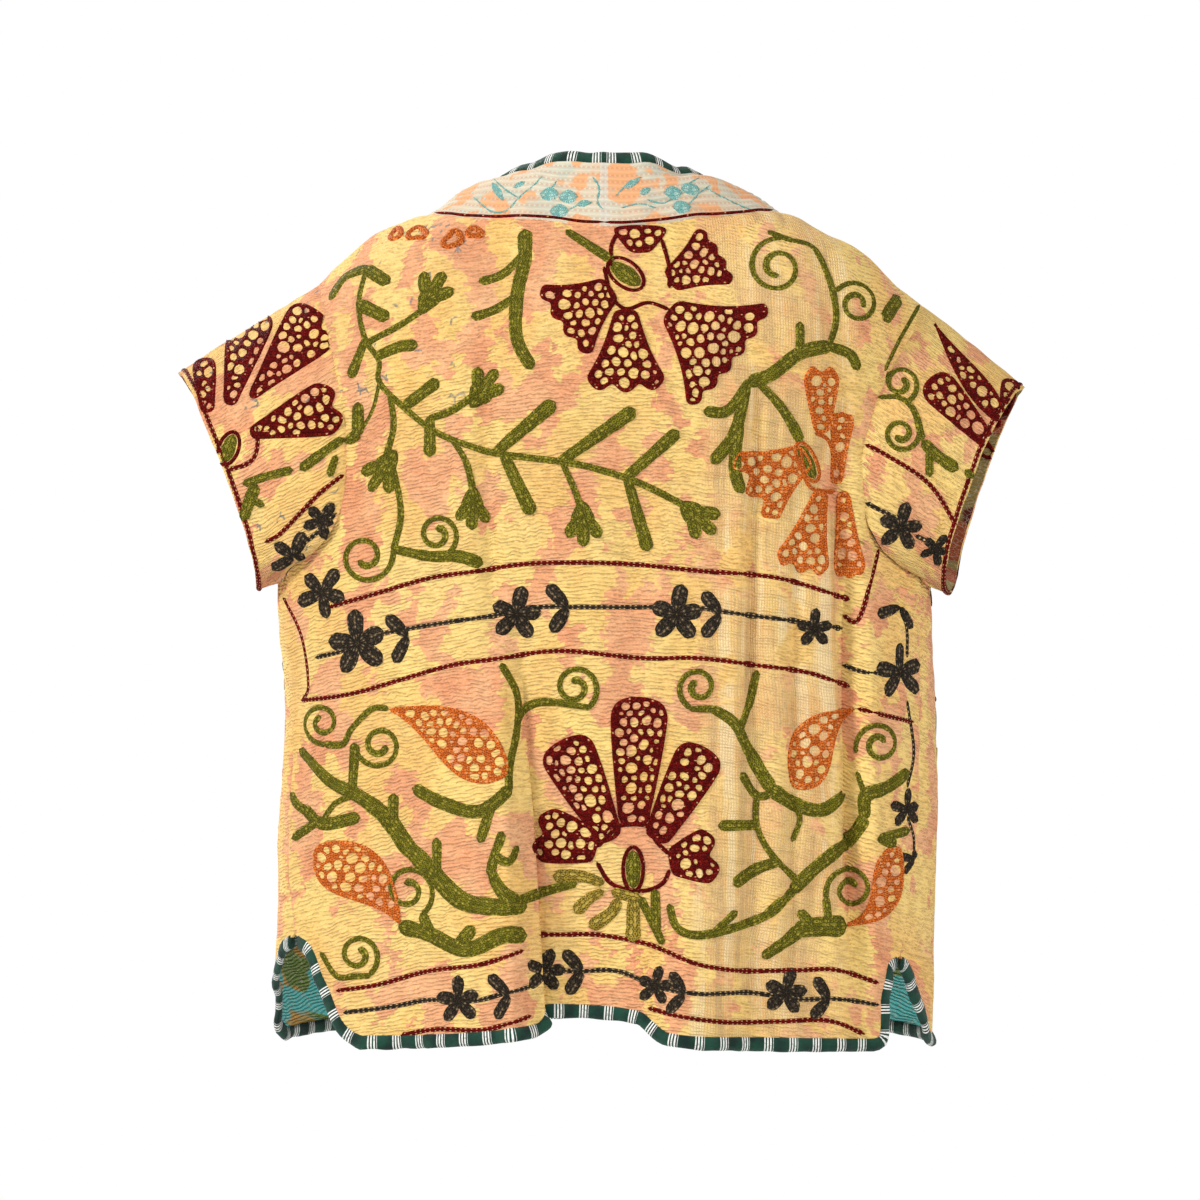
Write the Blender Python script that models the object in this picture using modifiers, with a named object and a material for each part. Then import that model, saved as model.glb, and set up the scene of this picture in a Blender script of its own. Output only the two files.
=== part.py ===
"""An open, hip-length waistcoat of quilted cloth with short wide sleeves, filled out as it is worn.

Metres, +Z up. The front faces -Y and the wearer's left is +X. The origin is the middle of the neck
opening at the height of the shoulder seams' neck ends, where the wearer's shoulders hold it up.

Every panel is a rectangle of cloth coordinates (across, up) laid on the hollow form of the body:
sections of the body give its width and depth at each height, the top line gives the shoulders and
the neck, and the folds push the cloth in and out. Each panel is an open surface with Solidify.
"""
import math

import bmesh
import bpy
import numpy as np

# Cloth and trim
WALL = 0.0025            # quilted cloth of several thin layers
SEAM = 0.0006            # half of the space left between two panels' cloth edges at a seam
SHOULDER_SEAM = 0.0010   # the same at the shoulder, where the two meet at an angle
BAND_WIDTH = 0.050       # neckband cloth, without its binding
BINDING_WIDTH = 0.008
BINDING_THICK = 0.005
BINDING_GAP = 0.0009     # between a panel's raw edge and the binding on it

# Form of the body
ROUNDNESS = 2.3          # exponent of the sections: 2 is an ellipse, more is squarer
ROLL_BACK = 0.120        # height over which the back turns over into the shoulder
ROLL_FRONT = 0.140       # the same at the front
NECK_BACK_DEPTH = 0.058  # nape, behind the middle
RIDGE_DEPTH = -0.010     # shoulder seam, just before the middle
NECK_END = 0.124         # half of the space between the shoulder seams' neck ends

# Sections of the body: height, half width on the wearer's left and right, depth behind and before
SECTIONS = (
    # height   left    right   back    front
    (-0.590, 0.2310, 0.2290, 0.1180, 0.1220),
    (-0.520, 0.2290, 0.2300, 0.1170, 0.1210),
    (-0.430, 0.2260, 0.2310, 0.1160, 0.1200),
    (-0.340, 0.2210, 0.2290, 0.1140, 0.1190),
    (-0.266, 0.2250, 0.2270, 0.1120, 0.1180),
    (-0.240, 0.2240, 0.2240, 0.1120, 0.1170),
    (-0.180, 0.2220, 0.2240, 0.1120, 0.1160),
    (-0.060, 0.2160, 0.2260, 0.1120, 0.1120),
    (0.040, 0.2100, 0.2200, 0.1100, 0.1080),
)

# Outer edge of the panels, bottom to top: the slit's corner, the side seam and then the armhole.
# How far up the panel (0 hem, 1 shoulder), then on each side the height and how far round the body
# the back's and the front's edges lie, in degrees from the widest point toward the back.
SIDE_EDGE = (
    # up     left z   back  front   right z  back  front
    (0.000, -0.5775, 47.1, -13.0, -0.5795, 38.1, 3.0),
    (0.010, -0.5750, 44.8, -10.0, -0.5780, 36.0, 7.0),
    (0.020, -0.5710, 42.4, -7.0, -0.5740, 35.6, 11.0),
    (0.040, -0.5620, 39.7, -4.0, -0.5640, 35.7, 14.5),
    (0.060, -0.5510, 37.5, -1.5, -0.5550, 35.7, 17.5),
    (0.080, -0.5380, 34.8, 4.0, -0.5450, 35.4, 20.5),
    (0.100, -0.5250, 32.0, 10.5, -0.5350, 34.6, 23.2),
    (0.112, -0.5160, 29.4, 14.5, -0.5280, 33.5, 25.4),
    (0.120, -0.5110, 26.5, 18.0, -0.5245, 32.0, 27.0),
    (0.124, -0.5080, 22.4, 22.4, -0.5230, 29.2, 29.2),
    (0.126, -0.5070, 22.3, 22.3, -0.5218, 29.1, 29.1),
    (0.200, -0.4700, 18.5, 18.5, -0.4780, 25.0, 25.0),
    (0.350, -0.3900, 14.5, 14.5, -0.3950, 20.0, 20.0),
    (0.500, -0.3100, 13.5, 13.5, -0.3120, 17.0, 17.0),
    (0.597, -0.2634, 12.0, 12.0, -0.2645, 16.0, 16.0),
    (0.600, -0.2620, 12.0, 12.0, -0.2630, 16.0, 16.0),
    (0.630, -0.2450, 27.0, -11.0, -0.2500, 27.5, -10.0),
    (0.660, -0.2310, 34.5, -24.0, -0.2350, 35.0, -24.0),
    (0.690, -0.2160, 37.5, -33.0, -0.2200, 38.6, -33.0),
    (0.760, -0.1780, 38.8, -40.0, -0.1850, 40.3, -41.0),
    (0.840, -0.1400, 36.7, -39.0, -0.1450, 36.3, -38.0),
    (0.920, -0.0970, 31.4, -33.0, -0.1060, 27.6, -29.0),
    (1.000, -0.0570, 23.8, -23.8, -0.0700, 7.1, -7.1),
)

# Cloth edge of the back's hem, right to left. Its middle hangs back and higher between two folds.
BACK_HEM = (
    # across   height
    (-0.1900, -0.5795),
    (-0.1190, -0.5775),
    (-0.0720, -0.5760),
    (-0.0440, -0.5730),
    (-0.0340, -0.5660),
    (-0.0250, -0.5590),
    (-0.0030, -0.5555),
    (0.0350, -0.5540),
    (0.0460, -0.5550),
    (0.0530, -0.5630),
    (0.0610, -0.5690),
    (0.0910, -0.5730),
    (0.1250, -0.5755),
    (0.1690, -0.5775),
)

# Top line of the body from the right shoulder to the left one, along X
TOP_LINE = (
    # across    height
    (-0.2240, -0.0700),
    (-0.2040, -0.0550),
    (-0.1900, -0.0410),
    (-0.1760, -0.0290),
    (-0.1620, -0.0215),
    (-0.1480, -0.0160),
    (-0.1240, -0.0060),
    (-0.0900, -0.0085),
    (-0.0600, -0.0120),
    (-0.0310, -0.0147),
    (0.0000, -0.0155),
    (0.0310, -0.0147),
    (0.0600, -0.0120),
    (0.0900, -0.0085),
    (0.1240, -0.0050),
    (0.1460, -0.0130),
    (0.1600, -0.0210),
    (0.1740, -0.0315),
    (0.1880, -0.0440),
    (0.2000, -0.0570),
)

# Inner edge of a front panel, where the band is sewn on: how far up the panel, height, from the middle
FRONT_EDGE = (
    # up     height   across
    (0.000, -0.5660, 0.0880),
    (0.300, -0.4050, 0.0870),
    (0.600, -0.2300, 0.0880),
    (0.740, -0.1450, 0.0940),
    (0.840, -0.0880, 0.1020),
    (0.930, -0.0380, 0.1130),
    (1.000, 0.0000, 0.1240),
)

# The way the band's cloth runs from its seam to its free edge, along the seam from the nape:
# toward the middle, toward the back and up
BAND_LEAN = (
    # along   inward  back     up
    (0.000, 0.000, -0.420, 0.900),
    (0.070, 0.300, -0.420, 0.860),
    (0.115, 0.640, -0.320, 0.700),
    (0.150, 0.830, -0.150, 0.540),
    (0.200, 0.930, -0.060, 0.360),
    (0.260, 0.970, -0.080, 0.220),
    (0.340, 0.990, -0.100, 0.080),
    (0.420, 0.997, -0.070, 0.000),
    (0.900, 0.997, -0.070, 0.000),
)

# Large folds that hang down the body: where the crest starts and where it ends or reaches the hem,
# how far it stands out, and its reach toward the wearer's left and right
BACK_FOLDS = (
    # top x   top z    low x    low z    height  left   right
    (0.0820, -0.2400, 0.0600, -0.5800, 0.0150, 0.055, 0.014),
    (0.0300, -0.2600, 0.0080, -0.5800, -0.0070, 0.040, 0.040),
    (-0.0650, -0.4000, -0.0540, -0.5800, 0.0110, 0.018, 0.035),
    (-0.1860, -0.2100, -0.1890, -0.4500, 0.0080, 0.008, 0.022),
    (-0.1000, -0.2000, -0.1040, -0.5600, -0.0040, 0.012, 0.016),
    (-0.1460, -0.2300, -0.1420, -0.5700, -0.0040, 0.014, 0.014),
    (0.1500, -0.3000, 0.1380, -0.5800, -0.0050, 0.025, 0.030),
)
FRONT_FOLDS = (
    # top x   top z    low x    low z    height  outer  inner
    (0.1500, -0.2600, 0.1580, -0.5800, 0.0110, 0.026, 0.020),
    (0.1180, -0.3400, 0.1160, -0.5800, -0.0060, 0.020, 0.022),
)
FOLD_FADE = 0.12         # share of a panel's width over which its folds die away at the seams

# Sleeve cuffs: top and bottom of the opening, half of its depth, and how far its back and front halves
# are drawn in toward the body
CUFFS = {
    "left": {"top": (0.299, -0.004, -0.117), "bottom": (0.242, 0.012, -0.267),
             "depth": 0.060, "back": 0.009, "front": 0.007},
    "right": {"top": (-0.294, -0.004, -0.127), "bottom": (-0.243, 0.012, -0.270),
              "depth": 0.060, "back": 0.016, "front": 0.002},
}
SLEEVE_SWELL = 0.006     # a sleeve stands out before and behind from straight lines between its ends
SLEEVE_START = 0.0014    # a sleeve's first ring stands off the armhole by this much
SLEEVE_LAP = 0.0044      # under the arm the sleeve is sewn over the body's edge, this far out of it
LAP_HEIGHTS = (-0.205, -0.235)   # the lap grows from nothing to all of it between these heights

# Steps of the meshes
BACK_COLUMNS = (-1.0, -0.94, -0.87, -0.79, -0.71, -0.63, -0.55, -0.47, -0.40, -0.34, -0.29, -0.24,
                -0.18, -0.11, -0.04, 0.03, 0.08, 0.12, 0.16, 0.20, 0.25, 0.31, 0.38, 0.46, 0.55,
                0.64, 0.73, 0.82, 0.91, 1.0)
FRONT_COLUMNS = 10
SIDE_ROWS = (0.0, 0.01, 0.02, 0.045, 0.075, 0.10, 0.112, 0.119, 0.124, 0.17, 0.24, 0.31, 0.38, 0.45,
             0.53)
ARMHOLE_ROWS = (0.60, 0.61, 0.62, 0.64, 0.665, 0.70, 0.75, 0.80, 0.85, 0.90, 0.94, 0.97, 1.0)
SLIT_ROWS = 9            # the first rows of SIDE_ROWS, up to the top of the slit
SLEEVE_STEPS = 4
NAPE_STEPS = 8
CLOSE = 0.02             # step on the cloth, as a share of a panel, for directions along it

COLLECTION = bpy.data.collections.new("embroidered_waistcoat")

# Sides of the body, and where each one's values stand in the tables
LEFT, RIGHT = 1, -1
SIDES = {"left": LEFT, "right": RIGHT}
HALF = {LEFT: 1, RIGHT: 2}
EDGE_Z = {LEFT: 1, RIGHT: 4}
BACK_ANGLE = {LEFT: 2, RIGHT: 5}
FRONT_ANGLE = {LEFT: 3, RIGHT: 6}
BACK_DEPTH, FRONT_DEPTH = 3, 4


def clear_scene():
    for item in list(bpy.data.objects):
        bpy.data.objects.remove(item, do_unlink=True)
    bpy.context.scene.collection.children.link(COLLECTION)


# ---------------------------------------------------------------- reading the tables

def smooth(low, high, value):
    """0 at low, 1 at high, an S curve between."""
    share = np.clip((value - low) / (high - low), 0.0, 1.0)
    return share * share * (3.0 - 2.0 * share)


def column(table, key, value):
    """Column `key` of a table at `value` of its first column, on a soft curve that never overshoots."""
    rows = np.array(table)
    x, y = rows[:, 0], rows[:, key]
    value = np.clip(np.asarray(value, float), x[0], x[-1])
    steps = np.diff(y) / np.diff(x)
    product = steps[1:] * steps[:-1]
    total = np.where(product > 0, steps[1:] + steps[:-1], 1.0)
    slope = np.concatenate([steps[:1], 2 * np.maximum(product, 0.0) / total, steps[-1:]])
    i = np.clip(np.searchsorted(x, value, side="right") - 1, 0, len(x) - 2)
    width = x[i + 1] - x[i]
    f = (value - x[i]) / width
    rise = (2 * f ** 3 - 3 * f ** 2 + 1) * y[i] + (3 * f ** 2 - 2 * f ** 3) * y[i + 1]
    return rise + width * ((f ** 3 - 2 * f ** 2 + f) * slope[i] + (f ** 3 - f ** 2) * slope[i + 1])


# ---------------------------------------------------------------- the form of the body

def section(angle):
    """Across and deep, as shares of a section's half sizes, at an angle from its widest point."""
    power = 2.0 / ROUNDNESS
    cos, sin = np.cos(angle), np.sin(angle)
    return np.abs(cos) ** power, np.sign(sin) * np.abs(sin) ** power


def angle_at(side, height, across):
    """Angle at which a section is this far from the middle."""
    share = np.clip(np.abs(across) / column(SECTIONS, HALF[side], height), 0.0, 1.0)
    return np.arccos(share ** (ROUNDNESS / 2.0))


def roll(share, at_nape):
    """How far the cloth has come out below the top line: round on the shoulder, slanting at the nape."""
    share = np.clip(share, 0.0, 1.0)
    shoulder = np.sqrt(1.0 - (1.0 - share) ** 2)
    nape = np.sin(share * math.pi / 2)
    return nape * at_nape + shoulder * (1.0 - at_nape)


def fold_out(folds, across, height):
    """How far the folds push the cloth out at a place."""
    out = np.zeros(np.broadcast(across, height).shape)
    for top_x, top_z, low_x, low_z, rise, reach_left, reach_right in folds:
        down = (height - top_z) / (low_z - top_z)
        crest = top_x + (low_x - top_x) * np.clip(down, 0.0, 1.0)
        reach = np.where(across > crest, reach_left, reach_right)
        strength = rise * smooth(0.0, 0.8, down) * smooth(1.25, 1.0, down)
        out = out + strength * np.exp(-((across - crest) / reach) ** 2)
    return out


def top_depth(across):
    """Depth of the top line: it rounds the nape from one neck end to the other, then runs straight."""
    share = np.clip(np.abs(across) / NECK_END, 0.0, 1.0)
    return RIDGE_DEPTH + (NECK_BACK_DEPTH - RIDGE_DEPTH) * (1.0 - share ** 2) ** 0.75


def back_surface(across, up):
    """Points of the back panel: across from -1 (right) to 1 (left), up from 0 (hem) to 1 (top)."""
    across, up = np.broadcast_arrays(np.asarray(across, float), np.asarray(up, float))
    x, sin, share = {}, {}, {}
    for side in (LEFT, RIGHT):
        edge_z = column(SIDE_EDGE, EDGE_Z[side], up)
        edge_angle = np.radians(column(SIDE_EDGE, BACK_ANGLE[side], up))
        half = column(SECTIONS, HALF[side], edge_z)
        angle = math.pi / 2 - np.clip(across * side, 0, 1) * (math.pi / 2 - edge_angle)
        cos, sin[side] = section(angle)
        x[side] = side * half * cos
        edge_x = side * half * section(edge_angle)[0]
        low, high = column(BACK_HEM, 1, edge_x), column(TOP_LINE, 1, edge_x)
        share[side] = (edge_z - low) / (high - low)
    sin = np.where(across >= 0, sin[LEFT], sin[RIGHT])
    x = np.where(across >= 0, x[LEFT], x[RIGHT])
    share = share[RIGHT] + (share[LEFT] - share[RIGHT]) * (across + 1) / 2
    low, high = column(BACK_HEM, 1, x), column(TOP_LINE, 1, x)
    z = low + (high - low) * share
    ridge = top_depth(x)
    at_nape = 1.0 - smooth(0.5 * NECK_END, NECK_END, np.abs(x))
    out = column(SECTIONS, BACK_DEPTH, z) * sin - ridge
    y = ridge + out * roll((high - z) / ROLL_BACK, at_nape)
    y = y + fold_out(BACK_FOLDS, x, z) * smooth(0.0, FOLD_FADE, 1.0 - np.abs(across))
    return np.stack([x, y, z], -1)


def front_surface(side, across, up):
    """Points of a front panel: across from 0 (side seam) to 1 (band), up from 0 (hem) to 1 (shoulder)."""
    across, up = np.broadcast_arrays(np.asarray(across, float), np.asarray(up, float))
    edge_z = column(SIDE_EDGE, EDGE_Z[side], up)
    edge_angle = np.radians(column(SIDE_EDGE, FRONT_ANGLE[side], up))
    inner_z = column(FRONT_EDGE, 1, up)
    inner_angle = -angle_at(side, inner_z, column(FRONT_EDGE, 2, up))
    cos, sin = section(edge_angle + (inner_angle - edge_angle) * across)
    half = column(SECTIONS, HALF[side], edge_z + (inner_z - edge_z) * across)
    shoulder_angle = np.radians(column(SIDE_EDGE, FRONT_ANGLE[side], 1.0))
    shoulder_z = column(SIDE_EDGE, EDGE_Z[side], 1.0)
    shoulder_x = column(SECTIONS, HALF[side], shoulder_z) * section(shoulder_angle)[0]
    seam_x = shoulder_x + (NECK_END - shoulder_x) * across
    at_top = smooth(0.75, 1.0, up)
    x = side * (half * cos + (seam_x - half * cos) * at_top)
    neck_z = column(TOP_LINE, 1, side * NECK_END)
    seam_rise = (column(TOP_LINE, 1, side * seam_x) - shoulder_z) / (neck_z - shoulder_z)
    rise = across + (seam_rise - across) * smooth(0.4, 1.0, up)
    z = edge_z + (inner_z + neck_z * smooth(0.9, 1.0, up) - edge_z) * rise
    ridge_z = column(TOP_LINE, 1, side * np.maximum(np.abs(x), NECK_END))
    deep = column(SECTIONS, FRONT_DEPTH, z)
    deep = sin * np.where(sin < 0, deep, column(SECTIONS, BACK_DEPTH, z))
    y = RIDGE_DEPTH + (deep - RIDGE_DEPTH) * roll((ridge_z - z) / ROLL_FRONT, 0.0)
    fade = smooth(0.0, FOLD_FADE, across) * smooth(1.0, 1.0 - FOLD_FADE, across)
    y = y - fold_out(FRONT_FOLDS, np.abs(x), z) * fade
    return np.stack([x, y, z], -1)


# ---------------------------------------------------------------- edges and rings

def unit(vectors):
    return vectors / np.maximum(np.linalg.norm(vectors, axis=-1, keepdims=True), 1e-12)


def level(vector):
    """A unit vector along the level part of this one."""
    return unit(vector * (1.0, 1.0, 0.0))


def lengths(path):
    """Distance along a path to each of its points."""
    return np.concatenate([[0.0], np.cumsum(np.linalg.norm(np.diff(path, axis=0), axis=1))])


def armhole_loop(side):
    """The armhole from the shoulder down the back to under the arm, and the way back up the front."""
    up = np.array(ARMHOLE_ROWS)
    behind = back_surface(float(side), up[::-1])
    before = front_surface(side, 0.0, up[1:-1])
    return np.concatenate([behind, before])


def cuff_loop(name, turn):
    """Points of a cuff's opening at these turns, from its top round the back and up the front."""
    cuff = CUFFS[name]
    top, bottom = np.array(cuff["top"]), np.array(cuff["bottom"])
    cos, sin = np.cos(turn)[:, None], np.sin(turn)[:, None]
    drawn_in = np.where(sin > 0, cuff["back"] * sin, -cuff["front"] * sin)
    loop = (top + bottom) / 2 + cos * (top - bottom) / 2
    return loop + sin * (0.0, cuff["depth"], 0.0) - drawn_in * (SIDES[name], 0.0, 0.0)


def turns_of(loop):
    """Turn round the arm of each point of an armhole, a half turn where it passes under the arm."""
    low = len(ARMHOLE_ROWS) - 1
    down = lengths(loop[:low + 1])
    up_again = lengths(np.concatenate([loop[low:], loop[:1]]))
    return np.concatenate([math.pi * down / down[-1],
                           math.pi * (1 + up_again[1:-1] / up_again[-1])])


def sleeve_rings(name):
    """Rings of a sleeve from the armhole to the cuff."""
    loop = armhole_loop(SIDES[name])
    turn = turns_of(loop)
    cuff = cuff_loop(name, turn)
    share = np.linspace(0.0, 1.0, SLEEVE_STEPS + 1)[:, None, None]
    rings = loop + (cuff - loop) * share
    lap = SLEEVE_LAP * smooth(*LAP_HEIGHTS, loop[:, 2:])
    rings[0] += unit(cuff - loop) * (SLEEVE_START - lap / 2)
    rings += unit(loop * (0.25, 1.0, 0.0)) * lap * (1.0 - share)
    swell = SLEEVE_SWELL * np.sin(share ** 0.7 * math.pi) * np.sin(turn)[:, None]
    return rings + swell * (0.0, 1.0, 0.0)


def band_seam(side):
    """The seam of one half of the band: along the back's neck, over the shoulder, down the front."""
    top_z = column(SIDE_EDGE, EDGE_Z[side], 1.0)
    edge_angle = np.radians(column(SIDE_EDGE, BACK_ANGLE[side], 1.0))
    across = NECK_END * np.sin(np.linspace(0.0, math.pi / 2, NAPE_STEPS + 1))
    turned = math.pi / 2 - angle_at(side, top_z, across)
    neck = back_surface(side * turned / (math.pi / 2 - edge_angle), 1.0)
    front = front_surface(side, 1.0, np.array(SIDE_ROWS + ARMHOLE_ROWS)[::-1])
    return np.concatenate([neck, front[1:]])


def band_rows(side):
    """Rows of points of one half of the band, from its seam to its free edge."""
    seam = band_seam(side)
    along = lengths(seam)
    lean = unit(np.stack([-side * column(BAND_LEAN, 1, along), column(BAND_LEAN, 2, along),
                          column(BAND_LEAN, 3, along)], -1))
    share = np.linspace(1.3 * SEAM, BAND_WIDTH, 4)[:, None, None]
    rows = seam + lean * share
    rows[:, 0, 0] += side * SEAM
    return rows


# ---------------------------------------------------------------- meshes

def material(name, colour, roughness):
    made = bpy.data.materials.new(name)
    made.use_nodes = True
    shader = made.node_tree.nodes["Principled BSDF"]
    shader.inputs["Base Color"].default_value = (*colour, 1.0)
    shader.inputs["Roughness"].default_value = roughness
    shader.inputs["Metallic"].default_value = 0.0
    return made


def new_object(name, form, look):
    """An object of a bmesh, in the waistcoat's collection."""
    mesh = bpy.data.meshes.new(name)
    form.to_mesh(mesh)
    form.free()
    mesh.materials.append(look)
    mesh.shade_smooth()
    made = bpy.data.objects.new(name, mesh)
    COLLECTION.objects.link(made)
    return made


def loft(name, rows, look, closed=False, capped=False):
    """Quads between rows of points; `closed` joins each row to a ring, `capped` fills both end rings."""
    form = bmesh.new()
    rings = [[form.verts.new(point) for point in row] for row in rows]
    count = len(rings[0])
    for ring, after in zip(rings, rings[1:]):
        for i in range(count if closed else count - 1):
            j = (i + 1) % count
            form.faces.new((ring[i], ring[j], after[j], after[i]))
    if capped:
        form.faces.new(rings[0][::-1])
        form.faces.new(rings[-1])
        bmesh.ops.recalc_face_normals(form, faces=form.faces)
    return new_object(name, form, look)


def cloth(name, rows, look, closed=False):
    """A panel of cloth: an open sheet, thickened about its middle."""
    panel = loft(name, rows, look, closed)
    wall = panel.modifiers.new("cloth", "SOLIDIFY")
    wall.thickness = WALL
    wall.offset = 0.0
    wall.use_even_offset = True
    wall.use_quality_normals = True
    return panel


def draw_in(points, below, above, first, last):
    """Pulls a panel's edges in by these amounts, to leave room at the seams."""
    points = points.copy()
    for row, inner, amount in ((0, 1, below), (-1, -2, above)):
        points[row] += unit(points[inner] - points[row]) * amount
    for side, inner, amount in ((0, 1, first), (-1, -2, last)):
        points[:, side] += unit(points[:, inner] - points[:, side]) * amount
    return points


def binding(name, edge, inner, look, start=None, end=None):
    """A folded strip along a bound edge: flat where it meets the cloth, round on its outer side.

    `inner` are points of the cloth just inside the edge. `start` and `end` are the level ways that the
    strip runs at an end that lies in a seam, where it is drawn back a little.
    """
    edge = edge.copy()
    along = unit(np.gradient(edge, axis=0))
    if start is not None:
        along[0] = start
        edge[0] += along[0] * 1.5 * SEAM
    if end is not None:
        along[-1] = end
        edge[-1] -= along[-1] * 1.5 * SEAM
    normal = unit(np.cross(along, edge - inner))
    out = np.cross(normal, along)
    half = BINDING_THICK / 2
    profile = np.array(((BINDING_GAP, -half), (BINDING_WIDTH * 0.7, -half),
                        (BINDING_WIDTH, -half * 0.4), (BINDING_WIDTH, half * 0.4),
                        (BINDING_WIDTH * 0.7, half), (BINDING_GAP, half)))
    rings = edge[:, None] + out[:, None] * profile[:, :1] + normal[:, None] * profile[:, 1:]
    return loft(name, rings, look, closed=True, capped=True)


# ---------------------------------------------------------------- the pieces

def make_back(look):
    up = np.array(SIDE_ROWS + ARMHOLE_ROWS)[:, None]
    points = draw_in(back_surface(BACK_COLUMNS, up), 0.0, SHOULDER_SEAM, SEAM, SEAM)
    cloth("back", points[:, ::-1], look)


def make_fronts(look):
    up = np.array(SIDE_ROWS + ARMHOLE_ROWS)[:, None]
    across = np.linspace(0.0, 1.0, FRONT_COLUMNS + 1)
    for name, side in SIDES.items():
        points = draw_in(front_surface(side, across, up), 0.0, SHOULDER_SEAM, SEAM, SEAM)
        cloth("front_" + name, points[:, ::-side], look)


def make_sleeves(look):
    for name, side in SIDES.items():
        cloth("sleeve_" + name, sleeve_rings(name)[:, ::side], look, closed=True)


def make_bands(look, trim):
    for name, side in SIDES.items():
        rows = band_rows(side)
        cloth("neckband_" + name, rows[:, ::-side], look)
        binding("band_binding_" + name, rows[-1], rows[-2], trim, start=(side, 0.0, 0.0))


def make_back_hem_binding(look):
    """Down one slit's edge, along the hem and up the other slit's edge."""
    slit = np.array(SIDE_ROWS[:SLIT_ROWS])[::-1]
    across = np.array(BACK_COLUMNS)[1:-1]
    ups = np.concatenate([slit, np.zeros(across.shape), slit[::-1]])
    places = np.concatenate([-np.ones(slit.shape), across, np.ones(slit.shape)])
    edge = back_surface(places, ups)
    inner = back_surface(places * (1 - CLOSE), np.maximum(ups, CLOSE))
    beside = back_surface(places[[0, -1]] * (1 - CLOSE), ups[[0, -1]])
    start, end = level(beside[0] - edge[0]), level(edge[-1] - beside[1])
    inner[[0, -1]] = edge[[0, -1]] + (0.0, 0.0, CLOSE)
    binding("hem_binding_back", edge, inner, look, start, end)


def make_front_hem_binding(name, side, look):
    """Down the slit's edge, along the hem and under the band's foot, to the end of its binding."""
    slit = np.array(SIDE_ROWS[:SLIT_ROWS])[::-1]
    across = np.linspace(0.0, 1.0, FRONT_COLUMNS + 1)[1:]
    ups = np.concatenate([slit, np.zeros(across.shape)])
    places = np.concatenate([np.zeros(slit.shape), across])
    edge = front_surface(side, places, ups)
    inner = front_surface(side, np.maximum(places, CLOSE), np.maximum(ups, CLOSE))
    beside = front_surface(side, CLOSE, ups[0])
    start = level(beside - edge[0])
    inner[0] = edge[0] + (0.0, 0.0, CLOSE)
    band_end = band_rows(side)[:, -1]
    free_end = band_end[-1] + unit(band_end[-1] - band_end[-2]) * BINDING_WIDTH
    foot = np.concatenate([band_end[1:], free_end[None]])
    edge = np.concatenate([edge, foot])
    inner = np.concatenate([inner, foot + (0.0, 0.0, CLOSE)])
    binding("hem_binding_" + name, edge, inner, look, start)


def main():
    clear_scene()
    quilt = material("quilted_cloth", (0.86, 0.62, 0.30), 0.9)
    band = material("band_cloth", (0.84, 0.72, 0.56), 0.9)
    trim = material("striped_binding", (0.02, 0.10, 0.07), 0.8)
    make_back(quilt)
    make_fronts(quilt)
    make_sleeves(quilt)
    make_bands(band, trim)
    make_back_hem_binding(trim)
    for name, side in SIDES.items():
        make_front_hem_binding(name, side, trim)


main()
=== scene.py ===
"""An embroidered, quilted waistcoat, filled out as it is worn and seen from behind.

Metres, +Z up. The front faces -Y and the wearer's left is +X. The cloth pieces lie on the same form
as the CAD's, with finer steps, puckers and creases. The embroidery is laid on the sewn cloth.
"""
import math

import bpy
import numpy as np
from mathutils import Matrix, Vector, noise
from mathutils.bvhtree import BVHTree
from mathutils.geometry import delaunay_2d_cdt


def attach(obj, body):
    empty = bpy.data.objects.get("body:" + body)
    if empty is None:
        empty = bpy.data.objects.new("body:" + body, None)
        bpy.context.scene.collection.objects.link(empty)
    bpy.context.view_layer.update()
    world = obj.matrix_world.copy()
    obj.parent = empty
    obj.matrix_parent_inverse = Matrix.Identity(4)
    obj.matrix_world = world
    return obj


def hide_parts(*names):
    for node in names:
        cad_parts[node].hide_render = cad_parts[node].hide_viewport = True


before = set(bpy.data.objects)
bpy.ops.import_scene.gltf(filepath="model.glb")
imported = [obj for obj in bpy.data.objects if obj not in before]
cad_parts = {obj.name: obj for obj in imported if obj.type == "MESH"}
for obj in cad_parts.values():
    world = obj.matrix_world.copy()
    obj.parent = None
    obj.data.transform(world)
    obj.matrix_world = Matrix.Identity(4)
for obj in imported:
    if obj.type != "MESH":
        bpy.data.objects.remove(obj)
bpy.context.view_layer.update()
bpy.ops.object.select_all(action="DESELECT")
for camera in [item for item in bpy.data.objects if item.type == "CAMERA"]:
    bpy.data.objects.remove(camera, do_unlink=True)

# Cloth and trim
WALL = 0.0025            # quilted cloth of several thin layers
SEAM = 0.0001            # half of the space left between two panels' cloth edges at a seam
BAND_WIDTH = 0.050       # neckband cloth, without its binding
BINDING_WIDTH = 0.008
BINDING_THICK = 0.005
BINDING_GAP = -0.0015    # the binding wraps the raw edge by this much

# Form of the body
ROUNDNESS = 2.3          # exponent of the sections: 2 is an ellipse, more is squarer
ROLL_BACK = 0.120        # height over which the back turns over into the shoulder
ROLL_FRONT = 0.140       # the same at the front
NECK_BACK_DEPTH = 0.058  # nape, behind the middle
RIDGE_DEPTH = -0.010     # shoulder seam, just before the middle
NECK_END = 0.124         # half of the space between the shoulder seams' neck ends

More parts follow.
